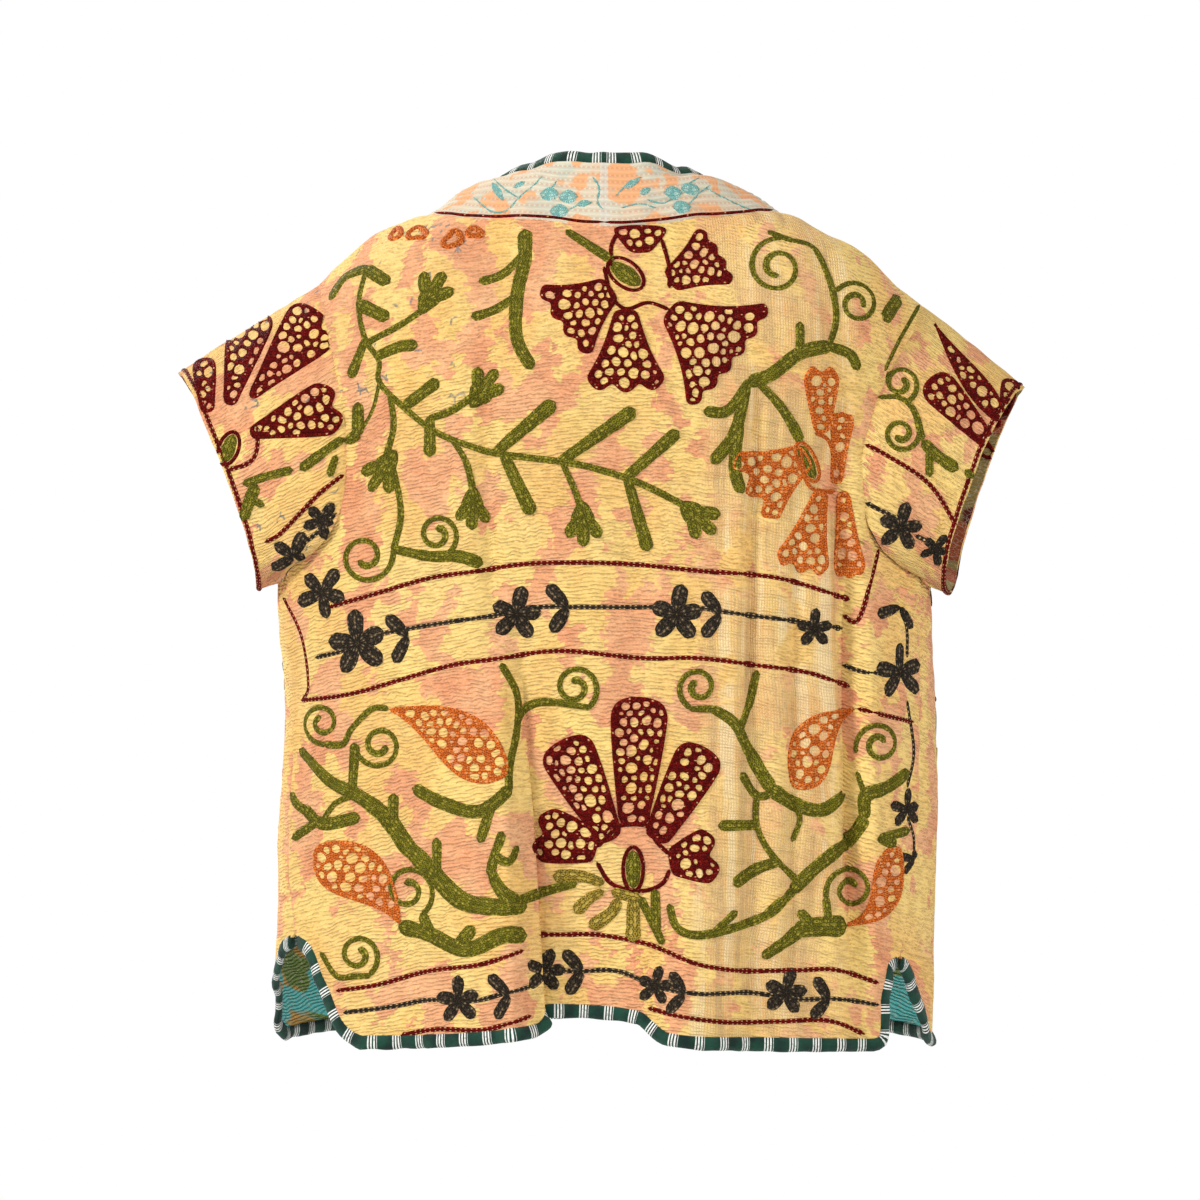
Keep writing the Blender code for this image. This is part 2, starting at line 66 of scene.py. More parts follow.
# Sections of the body: height, half width on the wearer's left and right, depth behind and before
SECTIONS = (
    # height   left    right   back    front
    (-0.590, 0.2310, 0.2290, 0.1180, 0.1220),
    (-0.520, 0.2290, 0.2300, 0.1170, 0.1210),
    (-0.430, 0.2260, 0.2310, 0.1160, 0.1200),
    (-0.340, 0.2210, 0.2290, 0.1140, 0.1190),
    (-0.266, 0.2250, 0.2270, 0.1120, 0.1180),
    (-0.240, 0.2240, 0.2240, 0.1120, 0.1170),
    (-0.180, 0.2220, 0.2240, 0.1120, 0.1160),
    (-0.060, 0.2160, 0.2260, 0.1120, 0.1120),
    (0.040, 0.2100, 0.2200, 0.1100, 0.1080),
)

# Outer edge of the panels, bottom to top: the slit's corner, the side seam and then the armhole.
# How far up the panel (0 hem, 1 shoulder), then on each side the height and how far round the body
# the back's and the front's edges lie, in degrees from the widest point toward the back.
SIDE_EDGE = (
    # up     left z   back  front   right z  back  front
    (0.000, -0.5775, 47.1, -13.0, -0.5795, 38.1, 3.0),
    (0.010, -0.5750, 44.8, -10.0, -0.5780, 36.0, 7.0),
    (0.020, -0.5710, 42.4, -7.0, -0.5740, 35.6, 11.0),
    (0.040, -0.5620, 39.7, -4.0, -0.5640, 35.7, 14.5),
    (0.060, -0.5510, 37.5, -1.5, -0.5550, 35.7, 17.5),
    (0.080, -0.5380, 34.8, 4.0, -0.5450, 35.4, 20.5),
    (0.100, -0.5250, 32.0, 10.5, -0.5350, 34.6, 23.2),
    (0.112, -0.5160, 29.4, 14.5, -0.5280, 33.5, 25.4),
    (0.120, -0.5110, 26.5, 18.0, -0.5245, 32.0, 27.0),
    (0.124, -0.5080, 22.4, 22.4, -0.5230, 29.2, 29.2),
    (0.126, -0.5070, 22.3, 22.3, -0.5218, 29.1, 29.1),
    (0.200, -0.4700, 18.5, 18.5, -0.4780, 25.0, 25.0),
    (0.350, -0.3900, 14.5, 14.5, -0.3950, 20.0, 20.0),
    (0.500, -0.3100, 13.5, 13.5, -0.3120, 17.0, 17.0),
    (0.597, -0.2634, 12.0, 12.0, -0.2645, 16.0, 16.0),
    (0.600, -0.2620, 12.0, 12.0, -0.2630, 16.0, 16.0),
    (0.630, -0.2450, 27.0, -11.0, -0.2500, 27.5, -10.0),
    (0.660, -0.2310, 34.5, -24.0, -0.2350, 35.0, -24.0),
    (0.690, -0.2160, 37.5, -33.0, -0.2200, 38.6, -33.0),
    (0.760, -0.1780, 38.8, -40.0, -0.1850, 40.3, -41.0),
    (0.840, -0.1400, 36.7, -39.0, -0.1450, 36.3, -38.0),
    (0.920, -0.0970, 31.4, -33.0, -0.1060, 27.6, -29.0),
    (1.000, -0.0570, 23.8, -23.8, -0.0700, 7.1, -7.1),
)

# Cloth edge of the back's hem, right to left. Its middle hangs back and higher between two folds.
BACK_HEM = (
    # across   height
    (-0.1900, -0.5795),
    (-0.1190, -0.5775),
    (-0.0720, -0.5760),
    (-0.0440, -0.5730),
    (-0.0340, -0.5660),
    (-0.0250, -0.5590),
    (-0.0030, -0.5555),
    (0.0350, -0.5540),
    (0.0460, -0.5550),
    (0.0530, -0.5630),
    (0.0610, -0.5690),
    (0.0910, -0.5730),
    (0.1250, -0.5755),
    (0.1690, -0.5775),
)

# Top line of the body from the right shoulder to the left one, along X
TOP_LINE = (
    # across    height
    (-0.2240, -0.0700),
    (-0.2040, -0.0550),
    (-0.1900, -0.0410),
    (-0.1760, -0.0290),
    (-0.1620, -0.0215),
    (-0.1480, -0.0160),
    (-0.1240, -0.0060),
    (-0.0900, -0.0085),
    (-0.0600, -0.0120),
    (-0.0310, -0.0147),
    (0.0000, -0.0155),
    (0.0310, -0.0147),
    (0.0600, -0.0120),
    (0.0900, -0.0085),
    (0.1240, -0.0050),
    (0.1460, -0.0130),
    (0.1600, -0.0210),
    (0.1740, -0.0315),
    (0.1880, -0.0440),
    (0.2000, -0.0570),
)

# Inner edge of a front panel, where the band is sewn on
FRONT_EDGE = (
    # up     height   across
    (0.000, -0.5660, 0.0880),
    (0.300, -0.4050, 0.0870),
    (0.600, -0.2300, 0.0880),
    (0.740, -0.1450, 0.0940),
    (0.840, -0.0880, 0.1020),
    (0.930, -0.0380, 0.1130),
    (1.000, 0.0000, 0.1240),
)

# The way the band's cloth runs from its seam to its free edge, along the seam from the nape:
# toward the middle, toward the back and up
BAND_LEAN = (
    # along   inward  back     up
    (0.000, 0.000, -0.420, 0.900),
    (0.070, 0.300, -0.420, 0.860),
    (0.115, 0.640, -0.320, 0.700),
    (0.150, 0.830, -0.150, 0.540),
    (0.200, 0.930, -0.060, 0.360),
    (0.260, 0.970, -0.080, 0.220),
    (0.340, 0.990, -0.100, 0.080),
    (0.420, 0.997, -0.070, 0.000),
    (0.900, 0.997, -0.070, 0.000),
)

# Large folds that hang down the body: where the crest starts and where it ends or reaches the hem,
# how far it stands out, and its reach toward the wearer's left and right
BACK_FOLDS = (
    # top x   top z    low x    low z    height  left   right
    (0.0820, -0.2400, 0.0600, -0.5800, 0.0150, 0.055, 0.014),
    (0.0300, -0.2600, 0.0080, -0.5800, -0.0070, 0.040, 0.040),
    (-0.0650, -0.4000, -0.0540, -0.5800, 0.0110, 0.018, 0.035),
    (-0.1860, -0.2100, -0.1890, -0.4500, 0.0080, 0.008, 0.022),
    (-0.1000, -0.2000, -0.1040, -0.5600, -0.0040, 0.012, 0.016),
    (-0.1460, -0.2300, -0.1420, -0.5700, -0.0040, 0.014, 0.014),
    (0.1500, -0.3000, 0.1380, -0.5800, -0.0050, 0.025, 0.030),
)
FRONT_FOLDS = (
    # top x   top z    low x    low z    height  outer  inner
    (0.1500, -0.2600, 0.1580, -0.5800, 0.0110, 0.026, 0.020),
    (0.1180, -0.3400, 0.1160, -0.5800, -0.0060, 0.020, 0.022),
)

# Where the back's sharp folds lean over: their line from top to low end, how wide the leaning part
# is, and how far it leans (toward the wearer's left is +)
OVERHANGS = (
    # top x   top z    low x    low z    width   lean
    (0.0700, -0.3000, 0.0535, -0.5800, 0.0080, -0.0110),
    (-0.1760, -0.1950, -0.1790, -0.4500, 0.0070, 0.0095),
)
FOLD_FADE = 0.12         # share of a panel's width over which its folds die away at the seams

# Sleeve cuffs: top and bottom of the opening, half of its depth, and how far its back and front
# halves are drawn in toward the body
CUFFS = {
    "left": {"top": (0.299, -0.004, -0.117), "bottom": (0.242, 0.012, -0.267),
             "depth": 0.060, "back": 0.009, "front": 0.007},
    "right": {"top": (-0.294, -0.004, -0.127), "bottom": (-0.243, 0.012, -0.270),
              "depth": 0.060, "back": 0.016, "front": 0.002},
}
BAND_ROW = 0.0056        # from one row of the band's quilting to the next
BAND_PUFF = 0.0009       # how far its cloth stands up between them
BAND_CURL = (-0.002, -0.0075, -0.0075)   # of its free edge beside the neck: outward, back, up
BAND_CURL_WIDTH = 0.018  # the part of it that curls
SLEEVE_SWELL = 0.006     # a sleeve stands out before and behind from a straight line
SLEEVE_START = 0.0002    # a sleeve's first ring stands off the armhole by this much
SLEEVE_LAP = 0.0044      # under the arm the sleeve is sewn over the body's edge, this far out of it
LAP_HEIGHTS = (-0.205, -0.235)   # the lap grows from nothing to all of it between these heights

# Netted petals: colour, base, tip, width at the base and at the tip in mm, lobes of the tip
PETALS = (
    ("maroon", (-0.5, 6), (3, 8.5), 18, 59, 4), ("maroon", (-1.5, 7.5), (-1.5, 13), 15.5, 54.5, 3),
    ("maroon", (-4.5, 7.5), (-9, 11), 17, 88, 6), ("maroon", (-4.5, 5.5), (-8, 3.5), 17, 46, 4),
    ("maroon", (-2.5, 3.5), (-2.5, 1.5), 14, 38, 1), ("orange", (-15, 16), (-15, 11.5), 10, 25, 2),
    ("orange", (-16, 19.5), (-16.5, 14.5), 8.5, 17, 3),
    ("orange", (-14, 17.5), (-10, 20), 17, 56, 3), ("orange", (-15, 20), (-13.5, 25.5), 10, 38, 3),
    ("orange", (-16.5, 20), (-17, 26), 8.5, 22.5, 3),
    ("maroon", (0.5, 44.5), (4.5, 43.5), 21, 38, 2), ("maroon", (-0.5, 44), (3, 37), 17, 38, 1),
    ("maroon", (-2, 43), (-2.5, 34), 19.5, 39, 1), ("maroon", (-3.5, 44), (-7, 37.5), 17, 33.5, 1),
    ("maroon", (-4.5, 45.5), (-7.5, 45), 18, 38, 2),
)

# Netted buds shaped like drops: colour, point, round end, width and bend in mm
DROPS = (
    ("orange", (15, 35), (6.5, 39.5), 43.5, 7), ("orange", (14, 50), (20, 44.5), 43.5, -8.5),
    ("orange", (-17.5, 35), (-13, 40.5), 36.5, -11),
    ("orange", (-16.5, 50), (-20.5, 44.5), 26.5, -14),
)

# Small netted rounds on the left shoulder: colour, centre, width in mm
ROSETTES = (
    ("orange", (13, 2), 14), ("orange", (10.5, 2.5), 15.5), ("orange", (9, 2), 10.5),
    ("orange", (14.5, 2), 10),
)

# Hearts of the large flowers: colour of the rim, centre, length and width in mm, turn in degrees
EYES = (
    ("maroon", (-1.5, 5), 29.5, 18, -40), ("orange", (-14, 18), 29.5, 12.5, -65),
    ("maroon", (-2, 46), 31, 14, 90),
)

# Green stems and club-shaped leaves: width at the start and at the end in mm, then the way
STEMS = (
    (4.5, 5.5, (16.5, 4.5), (17, 7), (16.5, 9.5), (15.5, 11), (15.5, 12.5), (13.5, 14.5),
     (11.5, 16), (9, 17), (7, 17.5), (3, 18), (0.5, 18.5), (-2.5, 19.5), (-5.5, 21)),
    (10.5, 10.5, (16.5, 4.5), (18, 5), (19, 6.5)), (10.5, 10.5, (16.5, 4.5), (15, 5.5)),
    (10.5, 10.5, (17, 7), (15, 8)), (5.5, 5.5, (16.3, 9.7), (14, 8.5), (12.5, 7.5)),
    (6.5, 10, (16.5, 9.5), (17.5, 12)), (8, 10.5, (15.7, 10.7), (14, 10), (13, 10)),
    (8, 10.5, (13.8, 14.2), (11.5, 12.5)), (5.5, 6, (12, 15), (10.5, 14.5), (9, 13.5)),
    (8, 10, (12, 15), (12, 17.5)), (8, 12, (7.5, 17.4), (3.5, 14)), (8, 12, (6.9, 17.5), (5, 21.5)),
    (8, 12, (3, 18), (-2, 14.5)), (8, 10.5, (-1.5, 19.1), (-5, 16)),
    (7.5, 10.5, (-1.6, 19.2), (-3, 24)), (4.5, 5.5, (14.8, 13.2), (14.5, 15.5), (15, 17.5)),
    (4.5, 5.5, (14.5, 18.5), (14, 21.5), (14.5, 24)), (4.5, 5.5, (10.5, 16.4), (9.5, 18), (9, 20)),
    (4.5, 5.5, (2.9, 18), (2, 20), (1.5, 21.5)), (4, 4, (15.5, 12.5), (16, 14.5), (17, 16)),
    (9, 10.5, (17, 14), (17, 16)), (8, 10, (19, 17.5), (17, 16)),
    (11.5, 9.5, (5.5, 2), (5.5, 4), (6, 6.5), (6, 9.5), (5, 11.5)),
    (7, 8.5, (5.5, 3.5), (7, 5), (8.5, 5.5)), (7, 8.5, (6, 6.5), (7.5, 7.5), (9, 8)),
    (6.5, 10, (2.5, 2), (-0.5, 4)), (6.5, 6.5, (-11.5, 2), (-13.1, 2.6)),
    (5.5, 5.5, (-13.1, 2.6), (-14.5, 3), (-15.5, 5), (-16, 7), (-16, 8.5), (-15.5, 10)),
    (11.5, 10, (-15.5, 10), (-13.5, 10.5), (-11.5, 12), (-10, 12.5)),
    (7.5, 7.5, (-13.5, 10.5), (-13.5, 8.5)), (8, 9, (-15.5, 10), (-17, 10.5), (-17.5, 11.5)),
    (8, 9, (-10, 12.5), (-8.5, 14.5), (-7, 14.5)), (9, 10, (-9.8, 12.8), (-9, 16), (-7.5, 18)),
    (9, 10, (-9.3, 14.9), (-9, 18.5), (-9.5, 20)),
    (5.5, 9, (-10.4, 12.3), (-12, 14), (-13, 15.5), (-13.5, 16.5)),
    (10.5, 11.5, (-20.5, 6.5), (-19.5, 8)), (4, 4, (-22, 7), (-20.5, 9.5), (-19.5, 11.5)),
    (8, 16, (21, 38), (19, 40), (17, 41), (15, 42.5), (13.5, 44.5), (12, 46)),
    (16, 12, (12, 46), (10, 48), (8, 48.5), (5.5, 48.5)), (8, 9, (17.4, 41.1), (17.2, 37.5)),
    (8, 9, (14.6, 43.1), (14.5, 41)), (8, 9, (11.5, 46.5), (11.5, 44)),
    (4.5, 4.5, (17, 41), (18.5, 41.5), (19.6, 43)), (10, 10, (20.7, 42), (19.5, 43), (17, 42.5)),
    (6.5, 8, (7, 32), (6, 34), (6, 36.5), (6.5, 39), (6.5, 40.5)),
    (10, 10.5, (6.5, 40.5), (8.5, 42), (11, 41.5), (13, 40.5)),
    (8, 8, (7.6, 41.3), (8, 42.5), (8.5, 44)), (7.5, 8, (7, 43.5), (7.5, 45), (7.8, 46.3)),
    (8, 14.5, (7.7, 46.1), (7, 47.5), (5.5, 48.5)), (6.5, 7.5, (6, 44.5), (6.5, 45.5), (7.5, 45)),
    (4.5, 5.5, (15, 35), (16, 35), (17.5, 36.5), (18, 37.5), (19.2, 37.5)),
    (7.5, 7.5, (22, 39.5), (21.5, 41.5), (20, 42.5)), (7.5, 7.5, (21.5, 44), (19.8, 42.8)),
    (6.5, 10.5, (14.5, 24), (12, 24.5), (10, 24.5), (8.5, 25)),
    (11.5, 13, (14, 50), (12, 50.5), (9.5, 51.5), (7, 50.5), (5.5, 50.5)),
    (10, 10, (11.8, 50.6), (12.5, 49.2)), (10, 10, (10.1, 51.3), (9, 50)),
    (7.5, 4.5, (6, 36), (5.5, 35), (4, 34.5), (1, 34.9)), (9, 6.5, (6, 48.2), (4, 47.5), (2, 47)),
    (6.5, 6.5, (-2.5, 48), (-3, 49), (-4, 51)), (7.5, 7.5, (-3.5, 47.5), (-3.6, 50.2)),
    (6, 7.5, (-4.5, 48.5), (-5, 50), (-6.5, 50.5), (-9, 50), (-11.5, 49), (-13, 47.5)),
    (10, 11.5, (-13, 47.5), (-14.5, 46), (-17, 44), (-18, 42.5)),
    (11.5, 10, (-18, 42.5), (-18, 41), (-19.5, 40.5), (-21, 39.5)), (4.5, 6, (-6, 35), (-7.5, 35)),
    (7.5, 11.5, (-7.5, 35), (-9, 36), (-10, 38), (-11.5, 40.5)),
    (6.5, 6.5, (-9.3, 36.6), (-10, 34.5), (-10.5, 32.5)),
    (11.5, 10, (-11.5, 40.5), (-13, 41.5), (-15, 42), (-16.5, 41)),
    (6, 7.5, (-11.7, 40.7), (-10.5, 41), (-9.5, 39.5)), (7.5, 9, (-10.5, 43), (-8, 43)),
    (4.5, 5.5, (-10.5, 41), (-10.5, 43), (-11.5, 45), (-13.5, 47)),
    (8, 10, (-12, 45.5), (-10.5, 46), (-9, 47)), (6, 6.5, (-7.6, 50.3), (-9, 49)),
    (6.5, 7.5, (-11.1, 49.2), (-12.2, 48.2)), (4.5, 4, (-13, 41.5), (-13.5, 42.5), (-13, 44)),
    (4.5, 4.5, (-18, 41), (-17.5, 39.5)), (17.5, 13, (-16.5, 50), (-15, 50), (-13.2, 50.2)),
    (11.5, 7.5, (-13.5, 50.2), (-12.5, 51), (-11, 52)), (8, 8, (-14.5, 50.1), (-13.5, 49)),
    (6.5, 6.5, (-15.5, 50), (-15.3, 48.1)), (7.5, 7.5, (-19, 44), (-21, 43.5)),
    (6.5, 7.5, (-19, 44), (-20, 44.5)), (10, 8, (-19.9, 43.8), (-20, 44.5)),
    (4.5, 4.5, (19.5, 52), (18.5, 53.5), (17.5, 53.5), (16.2, 53.4)),
)

# Golden leaves: width at the start and at the end in mm, then the way
GOLDEN_LEAVES = (
    (7, 12, (0, 47), (1.5, 46.5), (3.5, 46.5)), (6.5, 11, (0, 47.5), (1, 48), (2, 49)),
    (8.5, 11, (-1, 48), (-0.5, 49), (1, 50)), (8.5, 12.5, (-2, 48), (-2, 49.5), (-2, 51)),
    (8.5, 10, (-0.5, 47.5), (-2.5, 48)),
)

# Cords that join the petals round a heart: colour, then the way
CORDS = (
    ("maroon", (0.5, 45.5), (-0.5, 47), (-2.5, 47.5), (-4, 47), (-4.5, 46)),
    ("maroon", (0, 4.5), (-0.5, 6.5), (-1.5, 7.5), (-3, 7), (-4.5, 7.5)),
    ("maroon", (-4.5, 6), (-4.5, 4.5), (-4, 2.5)), ("maroon", (-0.5, 4.5), (-0.5, 3), (-1, 2)),
    ("maroon", (0.5, 44.5), (-0.5, 43.5), (-1, 43), (-3, 43), (-3.5, 44), (-4.5, 45)),
    ("orange", (-13.5, 17), (-14, 19.5), (-15, 20), (-16, 20)),
    ("orange", (-14.5, 16), (-15.5, 16.5), (-16, 18.5)),
)

# Green tendrils: centre, radius in mm, where the outer end is in degrees, turns inward, hand
SPIRALS = (
    ((-12, 4.5), 22.5, 60, 1.6, 1), ((-17.5, 7), 17, 150, 1.5, -1),
    ((16.5, 24.5), 20.5, 15, 1.45, -1), ((11.5, 23), 16, -75, 1.5, 1),
    ((19.5, 36), 15.5, -80, 1.5, -1), ((15.5, 37.5), 17.5, 180, 1.5, 1),
    ((2, 33.5), 17, -55, 1.5, 1), ((-6.5, 33.5), 15.5, 250, 1.4, -1),
    ((-19, 37.5), 17, 200, 1.5, -1), ((-17, 47.5), 18, 200, 1.5, -1),
    ((13.5, 47.5), 19.5, -60, 1.5, 1), ((17, 52), 16, -60, 1.4, 1),
)

# Fans of three leaves: place, length in mm, and the way the middle leaf points in degrees
LEAF_FANS = (
    ((12.5, 7.5), 29.5, 62), ((9, 14), 28, 55), ((14.5, 17.5), 29.5, 235), ((9, 20), 26.5, 268),
    ((1.5, 21), 28, 272), ((-5.5, 21), 28.5, 318),
)

# Dark red chain-stitch lines
RED_LINES = (
    ((22.5, 27), (21, 30), (20.5, 33.5), (21, 34.5)),
    ((19, 28), (15.5, 27), (12, 26), (8.5, 25.5), (5, 25), (-1, 25), (-6.5, 25.5), (-12, 26),
     (-17, 27.5)),
    ((21, 34.5), (17.5, 34), (14, 33), (10.5, 32), (7, 31.5), (3, 31), (-2.5, 31.5), (-6.5, 31.5),
     (-10.5, 32), (-14, 32.5), (-17, 33.5)),
    ((-17.5, 35), (-19.5, 35.5), (-21.5, 36)),
    ((18.5, 54.5), (15.5, 54), (12, 53), (8.5, 52.5), (5.5, 51.5)),
    ((4.5, 50.5), (2.5, 50.5), (0.5, 50.5), (-2.5, 51), (-4, 51.5), (-6.5, 52.5), (-9.5, 53),
     (-11.5, 53), (-13.5, 53), (-16, 53), (-19, 54)),
    ((14, 57.5), (11.5, 57), (8.5, 57), (6.5, 56.5), (5, 56)),
    ((-3, 55.5), (-5, 56), (-8.5, 56.5), (-12, 56.5), (-15.5, 56.5), (-18, 57.5)),
    ((-19, 24), (-18.5, 26), (-17.5, 29), (-16.5, 28.5)),
)

# Charcoal chain-stitch lines between the flowers
DARK_LINES = (
    ((-20.5, 28), (-21, 29.5), (-21, 31.5)), ((-16.5, 32), (-18, 32.5), (-19.5, 32.5)),
    ((-21, 34.5), (-21.5, 38), (-21, 40.5)), ((-21, 42.5), (-21.5, 44), (-21.5, 45)),
    ((-21.5, 46.5), (-21.5, 48.5), (-21.5, 50.5)),
    ((20, 31.5), (18, 31), (16, 30), (13.5, 29.5), (10.5, 29), (7, 28.5), (4.5, 28), (1.5, 28),
     (-2.5, 28), (-6, 28), (-9.5, 28.5), (-13.5, 29), (-16.5, 29.5)),
    ((18, 56), (14.5, 55.5), (12, 55), (9, 55), (7, 54.5), (5, 54)),
    ((4.5, 53), (1.5, 53), (-1, 53), (-3.5, 54), (-6.5, 54.5), (-10, 54.5), (-13.5, 55), (-16, 55),
     (-19, 55.5)),
)

# Charcoal five-petalled flowers: centre, reach in mm, turn in degrees
FLOWERS = (
    ((17, 30.5), 23, 100), ((6, 28.5), 19.5, 82), ((-5, 28.5), 20.5, 85), ((-14.5, 29.5), 14, 90),
    ((10, 55), 17, 95), ((4, 53), 15.5, 80), ((-3.5, 54), 14, 80), ((-12.5, 54.5), 17, 80),
    ((-20.5, 32.5), 19.5, 95), ((-21, 42), 14, 90), ((-21.5, 45.5), 12, 90), ((19.5, 27), 19, 60),
)

# Charcoal pairs of leaves across the line: point, reach in mm, turn in degrees
CHEVRONS = (
    ((13.5, 30), 20.5, 10), ((2.5, 28), 20.5, 5), ((-8, 28.5), 19.5, 0), ((6.5, 54.5), 19, 10),
    ((1.5, 53), 19, 5), ((-5.5, 54.5), 17.5, -5), ((-15.5, 55), 18, -5), ((-20.5, 28), 17, 70),
)

BODY_TABLES = {
    "petals": PETALS, "drops": DROPS, "rosettes": ROSETTES, "eyes": EYES, "stems": STEMS,
    "golden_leaves": GOLDEN_LEAVES, "cords": CORDS, "spirals": SPIRALS, "leaf_fans": LEAF_FANS,
    "red_lines": RED_LINES, "dark_lines": DARK_LINES, "flowers": FLOWERS, "chevrons": CHEVRONS,
}

# The sleeves' tables, worked alike behind and, mirrored, before
SLEEVE_TABLES = {
    "petals": (
        ("maroon", (27.5, 14.5), (28, 10.5), 9, 17, 1), ("maroon", (26, 14), (24.5, 7), 9, 34, 1),
        ("maroon", (24.5, 13.5), (19.5, 7.5), 6, 44, 1),
        ("maroon", (24.5, 16), (18.5, 14), 8.5, 38, 2),
        ("maroon", (-28, 14.5), (-28.5, 12), 10, 14, 1),
        ("maroon", (-27.5, 17.5), (-22.5, 12), 8, 26, 1),
    ),
    "drops": (
        ("maroon", (-23, 8), (-28, 15.5), 19, -2),
    ),
    "eyes": (
        ("maroon", (26, 17), 24, 14, 70),
    ),
    "stems": (
        (6.5, 8.5, (17.5, 16), (19, 17), (21, 18.5)), (5.5, 6.5, (18.5, 17.5), (19, 19)),
        (6.5, 6.5, (21.5, 18.5), (23.5, 19), (25, 19.5)),
        (10, 8.5, (24, 19.5), (24.5, 20.5), (25, 22)), (5.5, 7, (24.5, 20.5), (23.5, 21)),
        (3.5, 6.5, (-19, 13.5), (-20.5, 13.5), (-21.5, 14.5), (-22, 16.5)),
        (9, 10.5, (-22, 16.5), (-23, 17.5), (-24.5, 18.5)), (6.5, 7, (-22.5, 17), (-22.5, 19)),
        (6.5, 7.5, (-25, 18.5), (-26, 19.5)),
    ),
    "spirals": (
        ((-20.5, 12.5), 14, -70, 1.4, 1), ((-20.5, 16), 14, 20, 1.5, -1),
    ),
    "red_lines": (
        ((23.5, 23.5), (22.5, 23), (21, 21.5), (19.5, 20), (17.5, 18.5)),
        ((26, 18.5), (24.5, 18), (24, 17), (24, 15.5)),
        ((-17.5, 16.5), (-19.5, 17.5), (-22.5, 19.5), (-24.5, 22.5)),
    ),
    "dark_lines": (
        ((21.5, 24), (20, 23), (18.5, 21.5)), ((21, 24.5), (20.5, 25.5)),
        ((-17.5, 20.5), (-19.5, 21.5), (-20.5, 22)), ((-21.5, 23), (-22.5, 23.5)),
    ),
    "flowers": (
        ((21.5, 24.5), 18, 70), ((19.5, 22), 14, 60), ((-20.5, 22.5), 17.5, 80),
        ((-23, 24), 12, 60),
    ),
}

# Aqua tendrils on the band behind the neck
BAND_LINES = (
    ((9.1, -0.6), (7.8, 0.5), (6.7, 0.4), (5.9, -0.5), (4.8, -1.4), (4.3, -2)),
    ((7.7, -1.9), (6.9, -1.1), (6, -0.5)), ((0.8, -1.9), (0.3, -1.1), (0.5, -0.1), (0.1, 0.4)),
    ((2.4, 0.4), (1.6, 0), (0.8, -0.1)), ((-0.8, -0.5), (-1.6, -1.4), (-2.6, -1.9)),
    ((-5.9, 0), (-6.6, -0.8), (-7.4, -1.4)), ((-7.1, -1.2), (-8, -0.7), (-9.5, 0), (-10.6, 0.4)),
    ((-6.6, -1.9), (-5.9, -1.5)), ((-1.2, 0.3), (-2.5, 0), (-3.6, 0.3)), ((3.3, -1.6), (3.8, -0.9)),
    ((-3, -0.3), (-4.1, 0), (-4.7, -0.4)),
)

# Small aqua leaves on the band: from, to
BAND_LEAVES = (
    ((7.8, -1.6), (7, -0.3)), ((1.9, 0.1), (0.9, -0.1)), ((-1.4, -1.1), (-2.5, -1.8)),
    ((-2.5, -0.7), (-3.2, -1.1)), ((6.3, -1.2), (5.5, -1.6)),
)

# Discs of the aqua trefoils
BAND_DISCS = (
    (3.8, -0.7), (2.5, -0.5), (3.1, 0.5), (-4.8, -0.8), (-6, -1.1), (-5.4, 0.2),
)

# Discs of one motif of the band before a shoulder: along it, across from its middle, and radius
BAND_MOTIF = (
    (-0.008, -0.007, 0.0061), (0.008, -0.007, 0.0061), (0.0, 0.008, 0.0061),
    (0.028, -0.004, 0.00252), (0.040, 0.006, 0.00288), (0.053, -0.005, 0.00252),
)

# Steps of the fine meshes
BACK_COLUMNS = np.unique(np.round(np.concatenate([
    np.linspace(-1.0, 1.0, 177), np.linspace(-0.72, -0.60, 30), np.linspace(0.16, 0.28, 26)]), 5))
MIDDLE_COLUMN = int(np.argmin(np.abs(BACK_COLUMNS)))
FRONT_COLUMNS = np.linspace(0.0, 1.0, 69)
SIDE_ROWS = np.linspace(0.0, 0.594, 108)
ARMHOLE_ROWS = np.linspace(0.60, 1.0, 72)
PANEL_ROWS = np.concatenate([SIDE_ROWS, ARMHOLE_ROWS])
SLIT_TOP = 0.124         # how far up a panel the slit ends
SLEEVE_STEPS = 34
NAPE_STEPS = 44
BAND_STEPS = 24

# Stitches
ROW = 0.0026             # from one row of the quilting to the next
STITCH_ROW = 0.0021      # width of a row of chain stitches
NET_PITCH = 0.0074       # from one hole of a net to the next
NET_THREAD = 0.0010      # half of the threads between them
NET_RIM = 0.0026         # from a net's edge to its holes
NET_RISE = 0.0011        # how far its threads stand out of the cloth
NET_SLOPE = 0.00042      # from a hole's rim to the top of its threads
NET_EDGE = 0.0008        # from a net's rim to the top of its cord
NET_STEP = 0.0020        # between points along its outline
NET_LEAP = 0.016         # a net's face that spans more than this lies across a fold
SMALLEST_HOLE = (0.0006, 0.0010)                   # its least and its mean half width
STEM_RISE = 0.0011
CORD_RISE = 0.0012
CORD_WIDTH = 0.0038
CHAIN_WIDTH = 0.0041     # of a single line of chain stitches
SEAM_LINE_WIDTH = 0.0028
SPIRAL_WIDTH = (0.0045, 0.0044)                    # on the body and on the sleeves
LEAP = 0.010             # a line of stitches breaks where the cloth leaps by more than this
FRONT_TOP = 3.0          # nothing is worked higher on the fronts, in centimetres down

CLOSE = 0.02             # step on the cloth, as a share of a panel, for directions along it


